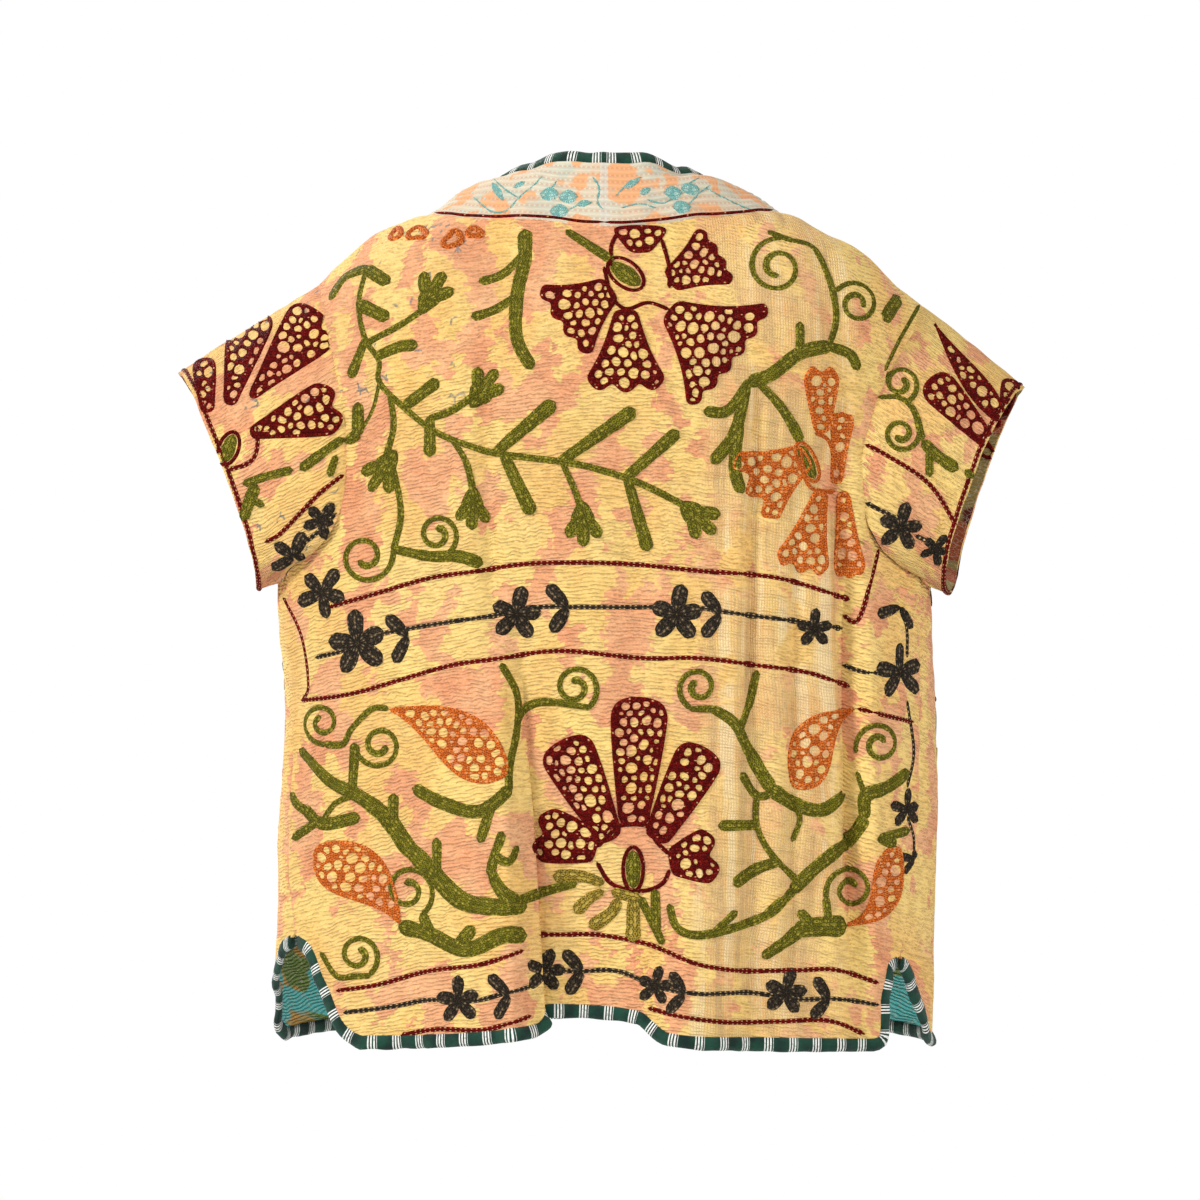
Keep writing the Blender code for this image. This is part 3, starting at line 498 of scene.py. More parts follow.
# Soft troughs and ridges of the hanging cloth: where each starts and ends (x, z), half its
# width, and how far it goes out (or, below 0, in)
BACK_CREASES = (
    (0.083, -0.1, 0.074, -0.33, 0.0065, -0.0044), (0.096, -0.12, 0.088, -0.36, 0.008, 0.003),
    (0.059, -0.29, 0.043, -0.62, 0.008, -0.008), (0.074, -0.29, 0.06, -0.62, 0.007, 0.0048),
    (-0.105, -0.11, -0.1, -0.38, 0.0055, -0.0056), (-0.093, -0.13, -0.09, -0.33, 0.006, 0.0024),
    (-0.133, -0.22, -0.127, -0.54, 0.006, -0.0054), (-0.108, -0.35, -0.096, -0.56, 0.007, -0.0044),
    (-0.16, -0.17, -0.176, -0.56, 0.0065, -0.0085), (-0.173, -0.17, -0.19, -0.56, 0.0065, 0.0058),
    (0.165, -0.1, 0.172, -0.27, 0.008, -0.0032), (0.15, -0.33, 0.13, -0.56, 0.011, -0.003),
    (-0.025, -0.15, -0.018, -0.42, 0.012, -0.0022), (0.025, -0.33, 0.02, -0.58, 0.011, -0.0026),
    (-0.15, -0.04, -0.172, -0.18, 0.008, -0.003), (0.215, -0.3, 0.2, -0.52, 0.009, -0.0028),
)
FRONT_CREASES = (
    (0.15, -0.08, 0.14, -0.36, 0.008, -0.003), (0.19, -0.25, 0.2, -0.56, 0.009, -0.0026),
    (0.22, -0.12, 0.215, -0.33, 0.008, -0.0022), (-0.145, -0.1, -0.155, -0.4, 0.009, -0.003),
    (-0.2, -0.2, -0.185, -0.54, 0.008, -0.0028), (-0.225, -0.06, -0.215, -0.26, 0.008, -0.002),
)
# Puckers: height, size, how much taller than wide, and a number of their own
PUCKERS = ((0.0034, 0.080, 1.8, 0.0), (0.0016, 0.026, 1.9, 5.0), (0.0006, 0.010, 1.3, 9.0))
SEAM_PUCKERS = (0.0016, 0.014, 1.0, 3.0)

# Widths along a shape of full stitches, from one end to the other, as shares of its widest
LEAF_SHAPE = np.array((0.45, 0.75, 0.95, 1.0, 1.0, 0.9))
FOOT_SHAPE = np.array((0.20, 0.42, 0.60, 0.70, 0.60))
TENDRIL_SHAPE = np.array((1.0, 0.95, 0.9, 0.95, 1.35))
HEART_SHAPE = np.array((0.45, 0.75, 0.86, 0.75, 0.45))
NAPE_DISC_SHAPE = np.array((0.6, 0.86, 1.0, 0.86, 0.6))
DISC_SHAPE = np.array((0.5, 0.85, 1.0, 0.85, 0.5))
LEAF_STEP = 0.0018       # between points along a leaf or a tendril

# Colours, linear
YELLOW = (0.83, 0.575, 0.165)
GOLD = (0.8, 0.475, 0.12)
SALMON = (0.72, 0.275, 0.12)
PALE_SALMON = (0.785, 0.385, 0.175)
GAUZE = (0.83, 0.56, 0.19)
GAUZE_ORANGE = (0.8, 0.4, 0.11)
GAUZE_PAINTED_SHADE = (0.48, 0.3, 0.12)
GAUZE_PAINTED_HIGHLIGHT = (0.93, 0.79, 0.47)
GAUZE_GAP = (0.42, 0.24, 0.09)
STITCH_ON_YELLOW = (0.56, 0.3, 0.09)
STITCH_ON_SALMON = (0.48, 0.15, 0.08)
PALE_THREAD = (0.97, 0.86, 0.62)
DARK_THREAD = (0.52, 0.28, 0.12)
SOFT_BROWN_LUMPS = (0.7, 0.42, 0.22)
SHADOW = (0.6, 0.42, 0.3)
WORN = (0.13, 0.15, 0.16)
CREAM = (0.64, 0.59, 0.45)
PEACH = (0.8, 0.4, 0.19)
BAND_GREY = (0.43, 0.5, 0.42)
BAND_MIDDLE = (0.64, 0.6, 0.5)
AQUA = (0.38, 0.69, 0.64)
TURQUOISE = (0.11, 0.52, 0.5)
OCHRE = (0.56, 0.3, 0.06)
LEAF_CLOTH = (0.15, 0.23, 0.045)
BROWN = (0.06, 0.03, 0.018)
KHAKI = (0.33, 0.23, 0.07)
RUST = (0.42, 0.09, 0.03)
DARK_RED = (0.13, 0.016, 0.014)
GREEN_TRIM = (0.01, 0.06, 0.036)
DARK_TRIM = (0.004, 0.018, 0.014)
WHITE_LINE = (0.88, 0.87, 0.82)
# Threads: the dark, full and light tone
GREEN_TONES = ((0.135, 0.125, 0.01), (0.22, 0.205, 0.016), (0.52, 0.4, 0.07))
GOLD_TONES = ((0.3, 0.21, 0.03), (0.48, 0.33, 0.045), (0.75, 0.56, 0.15))
MAROON_TONES = ((0.105, 0.003, 0.0025), (0.185, 0.005, 0.004), (0.34, 0.03, 0.018))
ORANGE_TONES = ((0.64, 0.135, 0.02), (0.83, 0.195, 0.03), (0.88, 0.4, 0.13))
CHARCOAL_TONES = ((0.03, 0.023, 0.016), (0.06, 0.044, 0.03), (0.24, 0.17, 0.085))
AQUA_TONES = ((0.18, 0.5, 0.47), AQUA, (0.52, 0.8, 0.72))
# Painted shade between two strands of each thread, and the cloth that shows through a link
GREEN_STRAND_SHADE = (0.05, 0.042, 0.008)
MAROON_STRAND_SHADE = (0.03, 0.002, 0.002)
ORANGE_STRAND_SHADE = (0.25, 0.04, 0.01)
CHARCOAL_STRAND_SHADE = (0.01, 0.008, 0.006)
AQUA_STRAND_SHADE = (0.3, 0.42, 0.34)
THROUGH = (0.84, 0.56, 0.26)
THROUGH_GREEN = (0.72, 0.52, 0.12)
THROUGH_CHARCOAL = (0.42, 0.29, 0.15)

THREADS = {
    # skein: material, tones, painted shade between strands, cloth seen through, share of links it
    # shows in, single chain
    "green": ("green_thread", GREEN_TONES, GREEN_STRAND_SHADE, THROUGH_GREEN, 0.14, False),
    "gold": ("golden_thread", GOLD_TONES, GREEN_STRAND_SHADE, THROUGH_GREEN, 0.35, False),
    "maroon": ("maroon_thread", MAROON_TONES, MAROON_STRAND_SHADE, THROUGH, 0.08, False),
    "orange": ("orange_thread", ORANGE_TONES, ORANGE_STRAND_SHADE, THROUGH, 0.15, False),
    "charcoal": ("charcoal_thread", CHARCOAL_TONES, CHARCOAL_STRAND_SHADE, THROUGH_CHARCOAL, 0.40, False),
    "dark_line": ("charcoal_chain", CHARCOAL_TONES, CHARCOAL_STRAND_SHADE, THROUGH, 1.0, True),
    "red": ("dark_red_thread", MAROON_TONES, MAROON_TONES[0], THROUGH, 1.0, True),
    "aqua": ("aqua_thread", AQUA_TONES, AQUA_STRAND_SHADE, CREAM, 0.35, False),
}
TRIM_REPEAT = 0.0175     # from one group of the binding's white lines to the next

# Sides of the body, and where each one's values stand in the tables
LEFT, RIGHT = 1, -1
SIDES = {"left": LEFT, "right": RIGHT}
HALF = {LEFT: 1, RIGHT: 2}
EDGE_Z = {LEFT: 1, RIGHT: 4}
BACK_ANGLE = {LEFT: 2, RIGHT: 5}
FRONT_ANGLE = {LEFT: 3, RIGHT: 6}
BACK_DEPTH, FRONT_DEPTH = 3, 4


# ---------------------------------------------------------------- reading the tables

def smooth(low, high, value):
    """0 at low, 1 at high, an S curve between."""
    share = np.clip((value - low) / (high - low), 0.0, 1.0)
    return share * share * (3.0 - 2.0 * share)


def column(table, key, value):
    """Column `key` of a table at `value` of its first, on a soft curve that never overshoots."""
    rows = np.array(table)
    x, y = rows[:, 0], rows[:, key]
    value = np.clip(np.asarray(value, float), x[0], x[-1])
    steps = np.diff(y) / np.diff(x)
    product = steps[1:] * steps[:-1]
    total = np.where(product > 0, steps[1:] + steps[:-1], 1.0)
    slope = np.concatenate([steps[:1], 2 * np.maximum(product, 0.0) / total, steps[-1:]])
    i = np.clip(np.searchsorted(x, value, side="right") - 1, 0, len(x) - 2)
    width = x[i + 1] - x[i]
    f = (value - x[i]) / width
    rise = (2 * f ** 3 - 3 * f ** 2 + 1) * y[i] + (3 * f ** 2 - 2 * f ** 3) * y[i + 1]
    return rise + width * ((f ** 3 - 2 * f ** 2 + f) * slope[i] + (f ** 3 - f ** 2) * slope[i + 1])


# ---------------------------------------------------------------- the form of the body

def section(angle):
    """Across and deep, as shares of a section's half sizes, at an angle from its widest point."""
    power = 2.0 / ROUNDNESS
    cos, sin = np.cos(angle), np.sin(angle)
    return np.abs(cos) ** power, np.sign(sin) * np.abs(sin) ** power


def angle_at(side, height, across):
    """Angle at which a section is this far from the middle."""
    share = np.clip(np.abs(across) / column(SECTIONS, HALF[side], height), 0.0, 1.0)
    return np.arccos(share ** (ROUNDNESS / 2.0))


def roll(share, at_nape):
    """How far the cloth is out below the top line: round on the shoulder, slanting at the nape."""
    share = np.clip(share, 0.0, 1.0)
    shoulder = np.sqrt(1.0 - (1.0 - share) ** 2)
    nape = np.sin(share * math.pi / 2)
    return nape * at_nape + shoulder * (1.0 - at_nape)


def fold_line(line, height):
    """How far down a fold a height is, from 0 to 1 at its low end, and where it runs there."""
    top_x, top_z, low_x, low_z = line
    down = (height - top_z) / (low_z - top_z)
    return down, top_x + (low_x - top_x) * np.clip(down, 0.0, 1.0)


def fold_out(folds, across, height):
    """How far the folds push the cloth out at a place."""
    out = np.zeros(np.broadcast(across, height).shape)
    for *line, rise, reach_left, reach_right in folds:
        down, crest = fold_line(line, height)
        reach = np.where(across > crest, reach_left, reach_right)
        strength = rise * smooth(0.0, 0.8, down) * smooth(1.25, 1.0, down)
        out = out + strength * np.exp(-((across - crest) / reach) ** 2)
    return out


def top_depth(across):
    """Depth of the top line: it rounds the nape between the neck ends, then runs straight."""
    share = np.clip(np.abs(across) / NECK_END, 0.0, 1.0)
    return RIDGE_DEPTH + (NECK_BACK_DEPTH - RIDGE_DEPTH) * (1.0 - share ** 2) ** 0.75


def back_surface(across, up):
    """Points of the back panel: across from -1 (right) to 1 (left), up from 0 (hem) to 1 (top)."""
    across, up = np.broadcast_arrays(np.asarray(across, float), np.asarray(up, float))
    x, sin, share = {}, {}, {}
    for side in (LEFT, RIGHT):
        edge_z = column(SIDE_EDGE, EDGE_Z[side], up)
        edge_angle = np.radians(column(SIDE_EDGE, BACK_ANGLE[side], up))
        half = column(SECTIONS, HALF[side], edge_z)
        angle = math.pi / 2 - np.clip(across * side, 0, 1) * (math.pi / 2 - edge_angle)
        cos, sin[side] = section(angle)
        x[side] = side * half * cos
        edge_x = side * half * section(edge_angle)[0]
        low, high = column(BACK_HEM, 1, edge_x), column(TOP_LINE, 1, edge_x)
        share[side] = (edge_z - low) / (high - low)
    sin = np.where(across >= 0, sin[LEFT], sin[RIGHT])
    x = np.where(across >= 0, x[LEFT], x[RIGHT])
    share = share[RIGHT] + (share[LEFT] - share[RIGHT]) * (across + 1) / 2
    share = share + (1.0 - share) * smooth(0.95, 1.0, up)
    low, high = column(BACK_HEM, 1, x), column(TOP_LINE, 1, x)
    z = low + (high - low) * share
    ridge = top_depth(x)
    at_nape = 1.0 - smooth(0.5 * NECK_END, NECK_END, np.abs(x))
    out = column(SECTIONS, BACK_DEPTH, z) * sin - ridge
    y = ridge + out * roll((high - z) / ROLL_BACK, at_nape)
    y = y + fold_out(BACK_FOLDS, x, z) * smooth(0.0, FOLD_FADE, 1.0 - np.abs(across))
    return np.stack([x, y, z], -1)


def front_surface(side, across, up):
    """Points of a front panel: across from 0 (side seam) to 1 (band), up from 0 to 1 (shoulder)."""
    across, up = np.broadcast_arrays(np.asarray(across, float), np.asarray(up, float))
    edge_z = column(SIDE_EDGE, EDGE_Z[side], up)
    edge_angle = np.radians(column(SIDE_EDGE, FRONT_ANGLE[side], up))
    inner_z = column(FRONT_EDGE, 1, up)
    inner_angle = -angle_at(side, inner_z, column(FRONT_EDGE, 2, up))
    cos, sin = section(edge_angle + (inner_angle - edge_angle) * across)
    half = column(SECTIONS, HALF[side], edge_z + (inner_z - edge_z) * across)
    shoulder_angle = np.radians(column(SIDE_EDGE, FRONT_ANGLE[side], 1.0))
    shoulder_z = column(SIDE_EDGE, EDGE_Z[side], 1.0)
    shoulder_x = column(SECTIONS, HALF[side], shoulder_z) * section(shoulder_angle)[0]
    seam_x = shoulder_x + (NECK_END - shoulder_x) * across
    at_top = smooth(0.75, 1.0, up)
    x = side * (half * cos + (seam_x - half * cos) * at_top)
    neck_z = column(TOP_LINE, 1, side * NECK_END)
    seam_rise = (column(TOP_LINE, 1, side * seam_x) - shoulder_z) / (neck_z - shoulder_z)
    rise = across + (seam_rise - across) * smooth(0.4, 1.0, up)
    z = edge_z + (inner_z + neck_z * smooth(0.9, 1.0, up) - edge_z) * rise
    ridge_z = column(TOP_LINE, 1, side * np.maximum(np.abs(x), NECK_END))
    deep = column(SECTIONS, FRONT_DEPTH, z)
    deep = sin * np.where(sin < 0, deep, column(SECTIONS, BACK_DEPTH, z))
    y = RIDGE_DEPTH + (deep - RIDGE_DEPTH) * roll((ridge_z - z) / ROLL_FRONT, 0.0)
    fade = smooth(0.0, FOLD_FADE, across) * smooth(1.0, 1.0 - FOLD_FADE, across)
    y = y - fold_out(FRONT_FOLDS, np.abs(x), z) * fade
    return np.stack([x, y, z], -1)


# ---------------------------------------------------------------- edges and rings

def unit(vectors):
    return vectors / np.maximum(np.linalg.norm(vectors, axis=-1, keepdims=True), 1e-12)


def level(vector):
    """A unit vector along the level part of this one."""
    return unit(vector * (1.0, 1.0, 0.0))


def lengths(path):
    """Distance along a path to each of its points."""
    return np.concatenate([[0.0], np.cumsum(np.linalg.norm(np.diff(path, axis=0), axis=1))])


def armhole_loop(side):
    """The armhole from the shoulder down the back to under the arm, and back up the front."""
    return np.concatenate([back_surface(float(side), ARMHOLE_ROWS[::-1]),
                           front_surface(side, 0.0, ARMHOLE_ROWS[1:-1])])


def cuff_loop(name, turn):
    """Points of a cuff's opening at these turns, from its top round the back and up the front."""
    cuff = CUFFS[name]
    top, bottom = np.array(cuff["top"]), np.array(cuff["bottom"])
    cos, sin = np.cos(turn)[:, None], np.sin(turn)[:, None]
    drawn_in = np.where(sin > 0, cuff["back"] * sin, -cuff["front"] * sin)
    loop = (top + bottom) / 2 + cos * (top - bottom) / 2
    return loop + sin * (0.0, cuff["depth"], 0.0) - drawn_in * (SIDES[name], 0.0, 0.0)


def turns_of(loop):
    """Turn round the arm of each point of an armhole, a half turn where it passes under the arm."""
    low = len(ARMHOLE_ROWS) - 1
    down = lengths(loop[:low + 1])
    up_again = lengths(np.concatenate([loop[low:], loop[:1]]))
    return np.concatenate([math.pi * down / down[-1],
                           math.pi * (1 + up_again[1:-1] / up_again[-1])])


def sleeve_rings(name):
    """Rings of a sleeve from the armhole to the cuff."""
    loop = armhole_loop(SIDES[name])
    turn = turns_of(loop)
    cuff = cuff_loop(name, turn)
    share = np.linspace(0.0, 1.0, SLEEVE_STEPS + 1)[:, None, None]
    rings = loop + (cuff - loop) * share
    lap = SLEEVE_LAP * smooth(*LAP_HEIGHTS, loop[:, 2:])
    rings[0] += unit(cuff - loop) * (SLEEVE_START - lap / 2)
    rings += unit(loop * (0.25, 1.0, 0.0)) * lap * (1.0 - share)
    swell = SLEEVE_SWELL * np.sin(share ** 0.7 * math.pi) * np.sin(turn)[:, None]
    return rings + swell * (0.0, 1.0, 0.0)


def band_seam(side):
    """The seam of half of the band: along the back's neck, over the shoulder, down the front."""
    top_z = column(SIDE_EDGE, EDGE_Z[side], 1.0)
    edge_angle = np.radians(column(SIDE_EDGE, BACK_ANGLE[side], 1.0))
    across = NECK_END * np.sin(np.linspace(0.0, math.pi / 2, NAPE_STEPS + 1))
    turned = math.pi / 2 - angle_at(side, top_z, across)
    neck = back_surface(side * turned / (math.pi / 2 - edge_angle), 1.0)
    front = front_surface(side, 1.0, PANEL_ROWS[::-1])
    return np.concatenate([neck, front[1:]])


# ---------------------------------------------------------------- the cloth as it hangs

def unevenness(points, size, stretch=1.0, seed=0.0):
    """Soft noise at each point, about -1 to 1, in lumps of this size, `stretch` times as tall."""
    flat = points.reshape(-1, 3) / (size, size, size * stretch) + seed
    return np.array([noise.noise(Vector(p)) for p in flat]).reshape(points.shape[:-1])


def hang(points, near_seam=0.0):
    """Puckers and creases, the same for all that lies at one place, so that seams stay closed."""
    upward = 0.16 * smooth(-0.14, 0.0, points[..., 2:])
    outward = unit(points * (0.3, 1.0, 0.0) + upward * (0.0, 0.0, 1.0))
    out = sum(height * unevenness(points, *lumps) for height, *lumps in PUCKERS)
    out = out + near_seam * SEAM_PUCKERS[0] * unevenness(points, *SEAM_PUCKERS[1:])
    for table, here in ((BACK_CREASES, smooth(0.0, 0.02, points[..., 1])),
                        (FRONT_CREASES, smooth(0.0, -0.02, points[..., 1]))):
        for *line, width, depth in table:
            down, middle = fold_line(line, points[..., 2])
            strength = smooth(-0.15, 0.25, down) * smooth(1.15, 0.75, down)
            out = out + depth * here * strength * np.exp(-((points[..., 0] - middle) / width) ** 2)
    return points + outward * out[..., None]


def lean_folds(points):
    """The crests of the two sharp folds of the back lean over the hollow beside them."""
    x, z = points[..., 0], points[..., 2]
    for *line, width, lean in OVERHANGS:
        down, crest = fold_line(line, z)
        strength = smooth(0.0, 0.45, down) * smooth(1.3, 1.0, down)
        points[..., 0] += lean * strength * np.exp(-((x - crest) / width) ** 2)
    return points


def cloth_map(points):
    """Cloth coordinates in metres: along each row, and up, lower where the rows sag."""
    step = np.linalg.norm(np.diff(points, axis=1), axis=-1)
    along = np.concatenate([np.zeros((len(points), 1)), np.cumsum(step, axis=1)], axis=1)
    up = points[..., 2] + 0.030 * (np.minimum(np.abs(points[..., 0]), 0.24) / 0.2) ** 2
    return np.stack([along, up], -1)


# ---------------------------------------------------------------- meshes

def new_piece(name, points, faces, places, looks):
    """A piece of these points and faces, with a cloth coordinate to each corner of a face."""
    mesh = bpy.data.meshes.new(name)
    mesh.from_pydata([tuple(p) for p in points], [], faces)
    layer = mesh.uv_layers.new(name="cloth")
    layer.uv.foreach_set("vector", np.asarray(places, np.float32).ravel())
    for look in looks:
        mesh.materials.append(look)
    mesh.shade_smooth()
    mesh.update()
    piece = bpy.data.objects.new(name, mesh)
    bpy.context.scene.collection.objects.link(piece)
    return piece


def loft(name, rows, places, looks, closed=False, capped=False):
    """Quads between rows of points. A closed row has one more cloth place than it has points."""
    rows, places = np.asarray(rows), np.asarray(places)
    height, count = rows.shape[:2]
    steps = count if closed else count - 1
    i, j = np.meshgrid(np.arange(height - 1), np.arange(steps), indexing="ij")
    after = (j + 1) % count
    faces = np.stack([i * count + j, i * count + after, (i + 1) * count + after,
                      (i + 1) * count + j], -1).reshape(-1, 4)
    corners = np.stack([places[i, j], places[i, j + 1], places[i + 1, j + 1], places[i + 1, j]],
                       -2).reshape(-1, 2)
    faces = faces.tolist()
    if capped:
        faces.append(list(range(count))[::-1])
        faces.append([(height - 1) * count + k for k in range(count)])
        corners = np.concatenate([corners, places[0, :count][::-1], places[-1, :count]])
    return new_piece(name, rows.reshape(-1, 3), faces, corners, looks)


def put_in(piece, node):
    """The piece rides with the root, in place of the CAD's node."""
    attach(piece, "root")
    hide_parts(node)
    return piece


def sew(name, rows, places, look, lining, node, closed=False):
    """A sheet of cloth with its own wall, in place of the CAD's node."""
    piece = loft(name, rows, places, (look, lining), closed)
    wall = piece.modifiers.new("wall", "SOLIDIFY")
    wall.thickness = WALL
    wall.offset = 0.0
    wall.material_offset = 1
    bpy.ops.object.select_all(action="DESELECT")
    bpy.context.view_layer.objects.active = piece
    piece.select_set(True)
    bpy.ops.object.modifier_apply(modifier=wall.name)
    bpy.ops.object.shade_smooth_by_angle(angle=math.radians(50))
    piece.select_set(False)
    return put_in(piece, node)


def strip_round(name, edge, inner, look, node, start=None, end=None):
    """A binding folded over an edge: flat on the cloth, round outside. `start` and `end` are the
    ways it runs where it begins and ends, when these aren't the edge's own."""
    along = unit(np.gradient(edge, axis=0))
    if start is not None:
        along[0] = start
    if end is not None:
        along[-1] = end
    normal = unit(np.cross(along, edge - inner))
    for _ in range(2):
        normal[1:-1] = unit(normal[:-2] + 2 * normal[1:-1] + normal[2:])
    out = np.cross(normal, along)
    half = BINDING_THICK / 2
    lower = [(BINDING_GAP, -half * 0.75), (BINDING_WIDTH * 0.25, -half),
             (BINDING_WIDTH * 0.65, -half), (BINDING_WIDTH * 0.92, -half * 0.62)]
    profile = np.array(lower + [(BINDING_WIDTH, 0.0)] + [(far, -off) for far, off in lower[::-1]])
    wave = 1.0 + 0.10 * unevenness(edge, 0.012, 1.0, 2.0)[:, None, None]
    profiles = out[:, None] * profile[:, :1] + normal[:, None] * profile[:, 1:]
    rings = edge[:, None] + profiles * wave
    turn = np.append(lengths(profile), lengths(profile)[-1] + BINDING_THICK * 0.75)
    places = np.stack(np.broadcast_arrays(lengths(edge)[:, None], turn), -1)
    return put_in(loft(name, rings, places, (look,), closed=True, capped=True), node)


# ---------------------------------------------------------------- the sewn pieces

def side_seam_far(side):
    """Distance along the back from its middle to its edge, for each row of the panels."""
    half = back_surface(np.linspace(0.0, side, 60), PANEL_ROWS[:, None])
    return np.linalg.norm(np.diff(half, axis=1), axis=-1).sum(axis=1)


def back_cloth(across, up):
    """Points of the back's cloth as it hangs, puckered near its side seams."""
    across, up = np.broadcast_arrays(across, up)
    return hang(lean_folds(back_surface(across, up)), np.exp(-(1 - np.abs(across)) / 0.04))


def make_back(look, lining):
    points = back_cloth(BACK_COLUMNS, PANEL_ROWS[:, None])
    places = cloth_map(points)
    places[..., 0] -= places[:, MIDDLE_COLUMN:MIDDLE_COLUMN + 1, 0]
    return sew("back_cloth", points[:, ::-1], places[:, ::-1], look, lining, "back")


def make_front(name, side, look, lining):
    across, up = np.broadcast_arrays(FRONT_COLUMNS, PANEL_ROWS[:, None])
    near = np.exp(-across / 0.08) + np.exp(-(1 - across) / 0.08) * smooth(1.0, 0.9, up)
    points = hang(front_surface(side, across, up), near)
    places = cloth_map(points)
    places[..., 0] = side * (places[..., 0] + side_seam_far(side)[:, None])
    return sew("front_cloth_" + name, points[:, ::-side], places[:, ::-side], look, lining,
               "front_" + name)


def make_sleeve(name, side, look, lining):
    rings = sleeve_rings(name)
    share = np.linspace(0.0, 1.0, SLEEVE_STEPS + 1)[:, None]
    near = np.exp(-share / 0.10) + 0.4 * np.exp(-(1 - share) / 0.08)
    rings = hang(rings, near)
    closed = np.concatenate([rings, rings[:, :1]], axis=1)
    round_arm = np.stack([lengths(ring) for ring in closed]).mean(axis=0)
    out = np.concatenate([np.zeros((1, closed.shape[1])),
                          np.cumsum(np.linalg.norm(np.diff(closed, axis=0), axis=-1), axis=0)])
    places = np.stack([out + 1.0 + side, np.broadcast_to(round_arm, out.shape)], -1)
    return sew("sleeve_cloth_" + name, rings[:, ::-side], places[:, ::-side], look, lining,
               "sleeve_" + name, closed=True)


def make_band(name, side, look, trim):
    """One half of the band, puffed along rows of quilting, and the binding on its free edge."""
    seam = band_seam(side)
    along = lengths(seam)
    lean = unit(np.stack([-side * column(BAND_LEAN, 1, along), column(BAND_LEAN, 2, along),
                          column(BAND_LEAN, 3, along)], -1))
    share = np.linspace(SEAM, BAND_WIDTH, BAND_STEPS + 1)
    rows = seam + lean * share[:, None, None]
    normal = unit(np.cross(np.gradient(seam, axis=0), lean)) * side
    puff = BAND_PUFF * np.abs(np.sin(math.pi * share / BAND_ROW)) * smooth(0.0, 0.004, share) \
        * smooth(BAND_WIDTH, BAND_WIDTH - 0.004, share)
    curl = smooth(0.035, 0.075, along) * smooth(0.230, 0.140, along)
    curl = curl * smooth(BAND_WIDTH - BAND_CURL_WIDTH, BAND_WIDTH, share)[:, None]
    rows = rows + curl[..., None] * BAND_CURL * (side, 1.0, 1.0)
    rows = hang(rows - normal * puff[:, None, None])
    places = np.stack(np.broadcast_arrays(side * along, share[:, None]), -1)
    cloth = sew("band_cloth_" + name, rows[:, ::-side], places[:, ::-side], look, look,
                "neckband_" + name)
    strip = strip_round("band_edge_" + name, rows[-1], rows[-2], trim, "band_binding_" + name,
                        start=np.array((side, 0.0, 0.0)))
    return cloth, strip, rows


def slit_rows():
    """How far up a panel its slit's edge goes, from near its top down to the hem."""
    return np.linspace(SLIT_TOP - 0.002, 0.0, 24)


def back_hem_strip(trim):
    slit, across = slit_rows(), BACK_COLUMNS[1:-1]
    ups = np.concatenate([slit, np.zeros(across.shape), slit[::-1]])
    places = np.concatenate([-np.ones(slit.shape), across, np.ones(slit.shape)])
    inner_places = places * (1 - CLOSE)
    edge = back_cloth(places, ups)
    inner = back_cloth(inner_places, np.maximum(ups, CLOSE))
    beside = hang(back_surface(inner_places[[0, -1]], ups[[0, -1]]))
    inner[[0, -1]] = edge[[0, -1]] + (0.0, 0.0, CLOSE)
    return strip_round("hem_edge_back", edge, inner, trim, "hem_binding_back",
                       level(beside[0] - edge[0]), level(edge[-1] - beside[1]))


def front_hem_strip(name, side, trim, band_rows):
    slit, across = slit_rows(), FRONT_COLUMNS[1:]
    ups = np.concatenate([slit, np.zeros(across.shape)])
    places = np.concatenate([np.zeros(slit.shape), across])
    near = np.exp(-places / 0.08) + np.exp(-(1 - places) / 0.08)
    edge = hang(front_surface(side, places, ups), near)
    inner = hang(front_surface(side, np.maximum(places, CLOSE), np.maximum(ups, CLOSE)), near)
    start = level(hang(front_surface(side, CLOSE, ups[:1]))[0] - edge[0])
    inner[0] = edge[0] + (0.0, 0.0, CLOSE)
    band_end = band_rows[2::2, -1]
    free_end = band_end[-1] + unit(band_end[-1] - band_end[-2]) * BINDING_WIDTH
    foot = np.concatenate([band_end, free_end[None]])
    edge = np.concatenate([edge, foot])
    inner = np.concatenate([inner, foot + (0.0, 0.0, CLOSE)])
    return strip_round("hem_edge_" + name, edge, inner, trim, "hem_binding_" + name, start)


# ---------------------------------------------------------------- laying embroidery on the cloth

class Ground:
    """The sewn cloth, for finding the place and the way out of it where a stitch goes in."""

    def __init__(self, pieces):
        points, faces, ways, self.owners = [], [], [], []
        for piece in pieces:
            mesh, start = piece.data, len(points)
            way = np.empty(len(mesh.vertices) * 3)
            mesh.vertex_normals.foreach_get("vector", way)
            points += [tuple(vertex.co) for vertex in mesh.vertices]
            for face in mesh.polygons:
                corners = list(face.vertices)
                ways.append(way.reshape(-1, 3)[corners].mean(axis=0))
                faces.append([k + start for k in corners])
                self.owners.append(piece.name)
        self.tree = BVHTree.FromPolygons(points, faces)
        self.ways = unit(np.array(ways))

    def meet(self, origin, direction, reach=1.2):
        """Where a needle from here meets the cloth: the place, the way out and the piece's name."""
        place, _, face, _ = self.tree.ray_cast(Vector(origin), Vector(direction), reach)
        if face is None:
            return None
        return np.array(place), self.ways[face], self.owners[face]


def body_line(height):
    """Points round the left half of the body's section at a height, from the middle of the back."""
    angle = np.linspace(math.pi / 2, -math.pi / 2, 160)
    cos, sin = section(angle)
    deep = np.where(sin > 0, *(column(SECTIONS, key, height) for key in (BACK_DEPTH, FRONT_DEPTH)))
    return np.stack([cos * column(SECTIONS, HALF[LEFT], height), sin * deep,
                     np.full(160, height)], -1)


